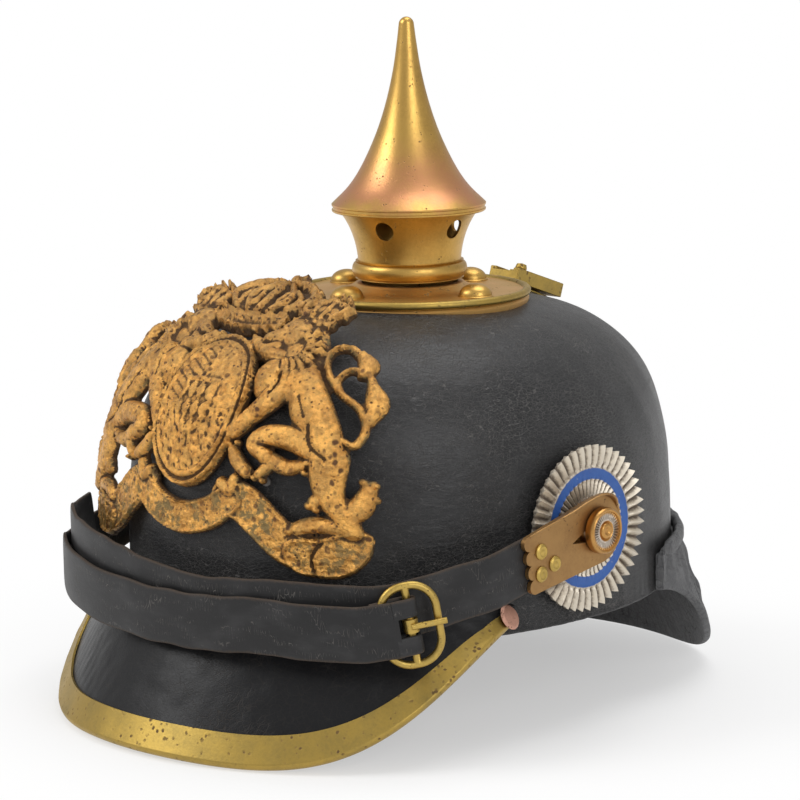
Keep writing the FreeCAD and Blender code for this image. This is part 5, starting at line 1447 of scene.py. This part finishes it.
    def flange(self) -> Array:
        """The lug's upper edge, turned outwards: it runs from the lobes along the flank and round the eye."""
        line = smooth_line([(36, 10.4), (26, 11.1), (14, 11.9), (5, 12.6), (-4, 12.2), (-9.5, 8.6),
                            (-12.2, 3.0)], 14)
        away = np.gradient(line, axis=0)
        away = unit(np.stack([-away[:, 1], away[:, 0]], -1))
        away *= np.sign((away * line).sum(-1, keepdims=True))
        run = np.linspace(0, 1, len(line))
        tall = 1.2 + 2.2 * ease(run / 0.35) * ease((1 - run) / 0.25)
        section = rounded_section(1.0, 1.0, 20, 3.0)
        centre = np.concatenate([line - away * 0.3,
                                 (self.lug_back + self.lug_sheet * 0.4 + tall / 2)[:, None]], 1)
        side = np.concatenate([away, np.zeros((len(line), 1))], 1)
        zed = np.repeat([[0, 0, 1.0]], len(line), 0)
        rings = swept(centre, side, zed, np.stack([section[None, :, 0] * 0.55 + 0 * tall[:, None],
                                                   section[None, :, 1] * tall[:, None] / 2], -1))
        lean = (rings[..., 2:] - self.lug_back) * 0.18
        return rings + side[:, None] * lean

    def build(self, shop: Workshop, rosette: bpy.types.Material, post: bpy.types.Material,
              lug: bpy.types.Material, brass: bpy.types.Material) -> None:
        """Makes both sides' pieces; rosettes and posts stay on the helmet, lugs swing with the strap."""
        for side in Side:
            word = side.name.lower()
            points, uv, mark = self.rosette_grid()
            points, uv, mark = (np.concatenate([a, a[:1]]) for a in (points, uv, mark))
            shop.piece(f"{word}_rosette", self.out_frame(points, side), grid_faces(*points.shape[:2]),
                       rosette,
                       "cockade_metal", stands_for=[f"{word}_cockade"], uv=uv, marks={"relief": mark},
                       sharp=55)
            points, uv, mark = self.post_head()
            shop.piece(f"{word}_stud", self.out_frame(points, side), grid_faces(*points.shape[:2]), post,
                       "spike_brass", stands_for=[f"{word}_post"], uv=uv, marks={"relief": mark}, sharp=50)
            shop.refined(f"{word}_lug", f"{word}_lug_plate", lug, Body.CHINSTRAP, edge=0.35)
            ring = closed_loop(capped(self.flange()))
            shop.piece(f"{word}_lug_flange", self.out_frame(ring * [1, -side.value, 1], side),
                       grid_faces(*ring.shape[:2]), lug, "lug_brass", Body.CHINSTRAP)
            grids = np.stack([self.rivet_grid(spot) for spot in self.rivets])
            rows, cols = grids.shape[1:3]
            faces = np.concatenate([grid_faces(rows, cols) + k * rows * cols for k in range(len(grids))])
            shop.piece(f"{word}_lug_heads", self.out_frame(grids, side), faces, brass, "buckle_brass",
                       Body.CHINSTRAP, stands_for=[f"{word}_lug_rivets"])


# ---------------------------------------------------------------- chin strap
@dataclass
class ChinStrap:
    """Two leather bands along one curve round the front, with the buckle near the wearer's left."""

    width: float = 20.0
    sheet: float = 1.8
    reach: float = 122.5
    drop: float = 24.0
    stagger: float = 6.0
    sag: float = 4.5
    front_rise: float = 5.5
    far_sag: float = 6.5
    half_span: float = 97.5
    bulge: float = 12.0
    layer: float = 1.6
    fold_room: float = 3.0
    buckle_turn: float = 52.0
    wire: float = 1.4
    slot: float = 3.0
    lug_back: float = 99.95
    lug_blend: float = 60.0
    lug_flat: float = 76.0
    lug_turn: float = 82.5

    def point(self, turn: Array) -> Array:
        """The middle line: x = a sin t + b sin 2t, and ahead = c |cos t|^0.74, falling evenly forwards."""
        swing = np.radians(turn)
        x = self.half_span * np.sin(swing) + self.bulge * np.sin(2 * swing)
        ahead = self.reach * np.abs(np.cos(swing)) ** 0.74
        return np.stack([x, -POST_AHEAD - ahead, POST_HEIGHT - self.drop * ahead / self.reach], -1)

    def frames(self, turn: Array) -> tuple[Array, Array, Array, Array]:
        """Points with the directions along, out of and across the strap."""
        along = unit(self.point(turn + 0.5) - self.point(turn - 0.5))
        out = unit(np.cross(along, [0, 0, 1.0]))
        return self.point(turn), along, out, unit(np.cross(out, along))

    def to_lug(self, turn: Array) -> Array:
        """The offset that brings the strap into the lug's plane."""
        point, _, out, _ = self.frames(turn)
        return (self.lug_back - self.sheet / 2 - 0.2 - np.abs(point[:, 0])) / np.abs(out[:, 0])

    def nearness(self, turn: Array) -> Array:
        """1 beside the buckle's bar and 0 away from it."""
        return ease(1.6 * (1 - np.abs(turn - self.buckle_turn) / 26))

    def offset(self, turn: Array, inner: bool) -> Array:
        """How far a band lies out from the middle line."""
        sign = 1 if inner else -1
        blend = ease((sign * turn - self.lug_blend) / (self.lug_flat - self.lug_blend))
        free = -(self.layer + self.fold_room * self.nearness(turn)) if inner else \
            self.layer + 1.0 * self.nearness(turn)
        return free * (1 - blend) + self.to_lug(turn) * blend

    def lift(self, turn: Array, inner: bool) -> Array:
        """How far a band rides above the middle line.

        The inner band rides high round the front. The outer one sags towards the buckle, and both
        hang a little on the far side, between the front and the far lug.
        """
        far = -self.far_sag * ease((-turn - 38) / 20) * ease((self.lug_turn + turn) / 16)
        if inner:
            return far + self.stagger * (1 -
                                         ease((turn - 22) / 30)) + self.front_rise * ease((12 - turn) / 34)
        return far - self.sag * ease((turn - 20) / 25)

    def band(self, turn: Array, inner: bool) -> tuple[Array, Array, Array]:
        """A band's closed sections, with UV in mm and the edge mark.

        Args:
            turn: the places along the curve.
            inner: whether it is the inner band.

        Returns:
            Points, UV pairs and the marks of the edges.
        """
        point, along, out, across = self.frames(turn)
        centre = point + out * self.offset(turn, inner)[:, None] + across * self.lift(turn, inner)[:, None]
        section = rounded_section(self.width / 2, self.sheet / 2, 72, 5.0)
        waves = 0.35 * ripple(centre, 21, 41 if inner else 42) * ease((84 - np.abs(turn)) / 20)
        rings = swept(centre + across * waves[:, None], across, out, section)
        length = np.concatenate([[0], np.cumsum(np.linalg.norm(np.diff(centre, axis=0), axis=1))])
        around = np.concatenate([section[:, 0], section[:1, 0]])
        uv = np.stack(np.broadcast_arrays(length[:, None], around[None, :]), -1)
        edge = np.broadcast_to(np.abs(around) / (self.width / 2), uv.shape[:2])
        return rings, uv, edge

    def leather(self, shop: Workshop, name: str, turn: Array, inner: bool, finish: bpy.types.Material,
                node: str) -> None:
        """Makes one band with closed ends."""
        rings, uv, edge = self.band(turn, inner)
        points = closed_loop(capped(rings))
        uv = np.concatenate([uv[:1], uv, uv[-1:]])
        edge = np.concatenate([np.ones_like(edge[:1]), edge, np.ones_like(edge[-1:])])
        shop.piece(name, points, grid_faces(*points.shape[:2]), finish, "strap_leather", Body.CHINSTRAP,
                   [node],
                   uv=uv, marks={"edge": edge}, sharp=60)

    def fold(self, shop: Workshop, finish: bpy.types.Material) -> None:
        """The two strips that pass round the bar, one each side of the prong, and lie back inside."""
        turn = np.array([self.buckle_turn])
        point, along, out, across = (a[0] for a in self.frames(turn))
        grip = self.wire + 0.15 + self.sheet / 2
        bar = point + out * (self.offset(turn, False)[0] - grip) + across * self.lift(turn, False)[0]
        bend = np.linspace(np.pi / 2, -np.pi / 2, 15)
        lead = np.linspace(-6.0, 0, 6)[:-1]
        path = np.concatenate([np.stack([lead, grip + 0 * lead], -1),
                               np.stack([grip * np.cos(bend), grip * np.sin(bend)], -1),
                               np.stack([[-2.0, -5.0, -9.0, -13.0],
                                         [-grip, -grip + 0.1, -grip + 0.7, -grip + 1.1]], -1)])
        tangent = unit(np.gradient(path, axis=0))
        upward = np.stack([-tangent[:, 1], tangent[:, 0]], -1)
        centre = bar + path[:, :1] * along + path[:, 1:] * out
        ups = upward[:, :1] * along + upward[:, 1:] * out
        sides = np.repeat(across[None], len(path), 0)
        for word, low, high in (("lower", -self.width / 2, -self.slot - 0.3),
                                ("upper", self.slot + 0.3, self.width / 2)):
            section = rounded_section((high - low) / 2, self.sheet / 2 - 0.05, 32, 5.0) + [(high + low) / 2,
                                                                                           0]
            rings = swept(centre, sides, ups, section)
            points = closed_loop(capped(rings))
            uv = np.stack(np.broadcast_arrays(np.arange(len(points))[:, None] * 0.9,
                                              np.append(section[:, 0], section[0, 0])[None]), -1)
            mark = np.broadcast_to(np.abs(uv[..., 1]) / (self.width / 2), uv.shape[:2])
            shop.piece(f"strap_fold_{word}", points, grid_faces(*points.shape[:2]), finish, "strap_leather",
                       Body.CHINSTRAP, uv=uv, marks={"edge": mark}, sharp=60)

    def build(self, shop: Workshop, finish: bpy.types.Material, brass: bpy.types.Material) -> None:
        """Makes the bands, the fold, and the buckle from its CAD shape."""
        self.leather(shop, "strap_tongue", np.linspace(-60, self.lug_turn, 300), True, finish, "left_strap")
        end = self.buckle_turn - 2.5
        self.leather(shop, "strap_band", np.linspace(-self.lug_turn, end, 320), False, finish, "right_strap")
        self.fold(shop, finish)
        shop.refined("left_buckle", "buckle_frame", brass, Body.CHINSTRAP, edge=0.0, sharp=60)
        shop.refined("buckle_prong", "buckle_tongue", brass, Body.PRONG, edge=0.15, sharp=50)


# ---------------------------------------------------------------- liner
@dataclass
class Liner:
    """The leather band inside the base and its tongues that draw together over the head."""

    stand: float = 8.0
    sheet: float = 1.6
    band_foot: float = 44.0
    band_height: float = 24.0
    tongues: int = 12
    gap: float = 9.0
    opening: float = 38.0

    def ring(self) -> Array:
        """The band: an oval tube with soft edges, following the shell's base."""
        angle = np.linspace(0, 2 * np.pi, 241)
        section = rounded_section(self.sheet / 2, self.band_height / 2, 36, 5.0)
        section = np.vstack([section, section[:1]])
        out = -self.stand - self.sheet / 2 + section[:, :1]
        height = self.band_foot + self.band_height / 2 + section[:, 1:] + 0 * angle
        x = (DOME.half_width + out) * np.sin(angle)
        y = -DOME.forward - (DOME.half_length + out) * np.cos(angle)
        return np.stack([x, y, height], -1)

    def tongue(self, index: int) -> Array:
        """One tongue: a strip of the dome, as wide as its share less the gap, rounded at its top."""
        count = self.tongues
        middle = 2 * np.pi * (index + 0.5) / count + np.pi / count
        foot = self.band_foot + self.band_height - 0.5
        open_share = self.opening / (DOME.half_width - self.stand)
        top = DOME.base + (DOME.rise - self.stand) * (1 - open_share**3) ** 0.25
        run = np.sin(np.linspace(0, np.pi / 2, 34))
        height = foot + (top - 0.3 - foot) * run
        left = np.cbrt(1 - ((height - DOME.base) / (DOME.rise - self.stand)) ** 4)
        whole = np.pi / count
        narrow = self.gap / 2 / ((DOME.half_width - self.stand) * np.maximum(left, 0.2))
        round_top = np.sqrt(np.clip(1 - np.clip((run - 0.97) / 0.03, 0, 1) ** 2, 0.25, 1))
        half = (whole - narrow * ease((height - foot) / 6)) * round_top
        across = np.linspace(-1, 1, 13)
        angle = middle + half[:, None] * across
        sides = []
        for out in (-self.stand - 0.15, -self.stand - self.sheet + 0.15):
            buckle = 0.5 * ripple(np.stack([angle * 40, height[:, None] + 0 * angle, 0 * angle], -1), 26,
                                  60 + index)
            x = (DOME.half_width + out + buckle * 0.4) * left[:, None] * np.sin(angle)
            y = -DOME.forward - (DOME.half_length + out + buckle * 0.4) * left[:, None] * np.cos(angle)
            sides.append(np.stack([x, y, height[:, None] + 0 * angle], -1))
        return np.concatenate([sides[0], sides[1][:, ::-1]], 1)

    def build(self, shop: Workshop, finish: bpy.types.Material) -> None:
        """Makes the band and the tongues."""
        points = self.ring()
        shop.piece("sweat_band", points, grid_faces(*points.shape[:2]), finish, "liner_leather",
                   stands_for=["sweatband"])
        grids = [closed_loop(capped(self.tongue(k))) for k in range(self.tongues)]
        rows, cols = grids[0].shape[:2]
        faces = np.concatenate([grid_faces(rows, cols) + k * rows * cols for k in range(len(grids))])
        shop.piece("liner_leaves", np.stack(grids), faces, finish, "liner_leather",
                   stands_for=["liner_tongues"])


# ---------------------------------------------------------------- floor, light and camera
@dataclass(frozen=True)
class Lamp:
    """A round lamp that looks at the helmet: its place and size in metres and its power in watts."""

    name: str
    spot: tuple[float, float, float]
    size: float
    power: float


@dataclass
class Studio:
    """A pale floor that fades to white, soft lamps, and the camera."""

    azimuth: float = 44.0
    elevation: float = 9.8
    roll: float = 0.8
    distance: float = 1150.0
    target: tuple[float, float, float] = (0.0, 0.0, 111.0)
    lens: float = 135.0
    shift: float = -0.0144
    soft: float = 0.45
    shine: float = 0.12
    fade: tuple[float, float] = (0.07, 0.27)
    least_white: float = 0.45
    lights: tuple[Lamp, ...] = (
        Lamp("key", (-1.1, -1.5, 1.5), 1.3, 21.0), Lamp("fill", (1.9, -0.5, 1.0), 1.2, 12.0),
        Lamp("top", (0.1, 0.4, 1.9), 1.4, 14.0))

    def camera(self, stance: Stance) -> None:
        """Places the camera round the helmet's axis and turns it by its roll."""
        a, e, r = (math.radians(v) for v in (self.azimuth, self.elevation, self.roll))
        back = np.array([math.sin(a) * math.cos(e), -math.cos(a) * math.cos(e), math.sin(e)])
        u = np.array([math.cos(a), math.sin(a), 0.0])
        v = np.cross(back, u)
        right, up = u * math.cos(r) - v * math.sin(r), u * math.sin(r) + v * math.cos(r)
        axes = [stance.turn(d) for d in (right, up, back)]
        data = bpy.data.cameras.new("camera")
        data.lens, data.sensor_width, data.shift_x, data.clip_end = self.lens, 36.0, self.shift, 100
        camera = bpy.data.objects.new("camera", data)
        place = Matrix(np.array(axes).T.tolist()).to_4x4()
        place.translation = stance.place(np.array(self.target) + back * self.distance).tolist()
        camera.matrix_world = place
        bpy.context.scene.collection.objects.link(camera)
        bpy.context.scene.camera = camera

    def floor(self) -> None:
        """A wide disc: a lit, shadowed middle that fades into plain white."""
        t = Tree("floor_white")
        t.finish(Base_Color=(0.94, 0.94, 0.94, 1), Roughness=0.9, Specular_IOR_Level=0.2)
        across = t.node("ShaderNodeVectorMath", {"operation": "LENGTH"}, {0: t.place((0.001,) * 3)}, "Value")
        path = t.nodes.new("ShaderNodeLightPath")
        seen = Sock(t, path.outputs["Is Camera Ray"]).peak(Sock(t, path.outputs["Is Glossy Ray"]))
        white = t.node("ShaderNodeEmission", {}, {"Color": (1, 1, 1, 1), "Strength": 1.0})
        share = t.step(across, *self.fade) * (1 - self.least_white) + self.least_white
        lit = Sock(t, t.shader.outputs[0])
        mixed = t.node("ShaderNodeMixShader", {}, {0: seen * share, 1: lit, 2: white})
        t.links.new(mixed.out, t.nodes["Material Output"].inputs["Surface"])
        angle = np.linspace(0, 2 * np.pi, 97)
        radius = np.array([0.0, 0.3, 1.0, 5.0, 60.0])[:, None]
        points = np.stack([radius * np.cos(angle), radius * np.sin(angle), 0 * radius * angle], -1)
        mesh = bpy.data.meshes.new("floor")
        mesh.from_pydata(points.reshape(-1, 3).tolist(), [], grid_faces(*points.shape[:2]).tolist())
        Workshop.clean(mesh, 30, False, mesh.polygons[40].normal.z < 0)
        disc = bpy.data.objects.new("floor", mesh)
        disc.data.materials.append(t.material)
        bpy.context.scene.collection.objects.link(disc)

    def lamps(self) -> None:
        """A large soft lamp from the upper left, a weaker one on the right and a soft top light."""
        for light in self.lights:
            data = bpy.data.lights.new(light.name, "AREA")
            data.shape, data.size, data.energy = "DISK", light.size, light.power
            lamp = bpy.data.objects.new(light.name, data)
            x, y, z = axes_to(np.array(light.spot) - np.array([0, 0, 0.1]))
            place = Matrix(np.array([x, y, z]).T.tolist()).to_4x4()
            place.translation = light.spot
            lamp.matrix_world = place
            bpy.context.scene.collection.objects.link(lamp)

    def world(self) -> None:
        """A soft grey sky: white to the camera, brighter in reflections than as light."""
        world = bpy.data.worlds.new("world")
        world.use_nodes = True
        nodes, links = world.node_tree.nodes, world.node_tree.links
        sky = nodes["Background"]
        sky.inputs["Color"].default_value = (1, 1, 1, 1)
        path = nodes.new("ShaderNodeLightPath")
        shine, most = nodes.new("ShaderNodeMath"), nodes.new("ShaderNodeMath")
        shine.operation, most.operation = "MULTIPLY_ADD", "MAXIMUM"
        shine.inputs[1].default_value, shine.inputs[2].default_value = self.shine, self.soft
        for out, socket in ((path.outputs["Is Glossy Ray"], shine.inputs[0]),
                            (shine.outputs[0], most.inputs[0]),
                            (path.outputs["Is Camera Ray"], most.inputs[1]),
                            (most.outputs[0], sky.inputs["Strength"])):
            links.new(out, socket)
        bpy.context.scene.world = world

    def build(self, stance: Stance) -> None:
        """Sets up everything round the helmet."""
        self.camera(stance)
        self.floor()
        self.lamps()
        self.world()
        bpy.context.scene.view_settings.view_transform = "Standard"


def corners(pair: Iterable) -> list[list[float]]:
    """Two corners as plain lists."""
    return [list(corner) for corner in pair]


def main() -> None:
    """Builds the studio and every sub-assembly in order."""
    logging.basicConfig(level=logging.INFO, format="%(name)s: %(message)s")
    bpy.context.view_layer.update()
    stance = Stance.from_record(frame["record"])
    shop = Workshop(stance)
    Studio().build(stance)

    shell = Leather("shell_leather", (0.010, 0.010, 0.011), (0.030, 0.029, 0.029), (0.17, 0.16, 0.15),
                    crack_size=2.4, crack_share=0.85, crack_depth=0.22, crease_depth=0.55, roughness=0.36,
                    shine=0.46).make()
    visor = Leather("visor_leather", (0.008, 0.008, 0.009), (0.022, 0.021, 0.020), (0.09, 0.07, 0.05),
                    crack_size=3.0, crack_share=0.25, crack_depth=0.05, crease_depth=0.22, roughness=0.36,
                    stretch=(1, 1, 1.2), wear_start=0.58, shine=0.24).make()
    rear = Leather("rear_leather", (0.105, 0.105, 0.108), (0.19, 0.188, 0.186), (0.020, 0.020, 0.020),
                   crack_size=3.4, crack_share=0.6, crack_depth=0.45, crease_size=4.2, crease_depth=2.0,
                   roughness=0.52, stretch=(1, 1, 0.6)).make()
    liner = Leather("liner_leather", (0.20, 0.125, 0.07), (0.30, 0.20, 0.12), (0.09, 0.055, 0.03),
                    crack_size=2.0, crack_share=0.3, roughness=0.62, crease_depth=0.4).make()
    strap = StrapLeather("strap_leather").make()
    spike = Brass("spike_brass", (0.60, 0.37, 0.10), (0.46, 0.28, 0.075), spot_size=1.3, spot_share=0.35,
                  blush=(0.60, 0.27, 0.14), blush_from=191.0, blush_to=214.0, roughness=0.26).make()
    trim = Brass("trim_brass", (0.44, 0.30, 0.075), (0.32, 0.23, 0.07), spot=(0.11, 0.06, 0.03),
                 spot_size=2.4,
                 spot_share=0.8, roughness=0.34).make()
    plate = Brass("plate_copper", (0.62, 0.36, 0.12), (0.52, 0.33, 0.11), spot_size=1.8, spot_share=0.5,
                  green=0.25, roughness=0.34).make()
    badge = StampedBrass("badge_brass").make()
    lug = Brass("lug_brass", (0.38, 0.22, 0.085), (0.30, 0.17, 0.07), spot_size=1.4, roughness=0.36).make()
    buckle = Brass("buckle_brass", (0.55, 0.38, 0.10), (0.40, 0.28, 0.08), spot_size=1.0, green=0.35,
                   roughness=0.30).make()
    copper = Brass("rivet_copper", (0.58, 0.33, 0.25), (0.45, 0.25, 0.18), spot_size=0.9,
                   roughness=0.45).make()
    iron = Brass("dull_iron", (0.26, 0.25, 0.24), (0.17, 0.14, 0.12), spot_size=1.2, roughness=0.5).make()
    rosette = Rosette("rosette_metal").make()
    post = PostFace("post_gilt").make()

    Shell().build(shop, shell)
    Visors().build(shop, visor, rear, trim, copper)
    Spike().build(shop, spike)
    BasePlate().build(shop, plate, trim, spike, iron)
    Spine().build(shop, trim, iron)
    FrontPlate().build(shop, badge)
    SideFittings().build(shop, rosette, post, lug, buckle)
    ChinStrap().build(shop, strap, buckle)
    Liner().build(shop, liner)
    LOG.info("%d pieces made", len(shop.made))


if __name__ == "__main__":
    main()
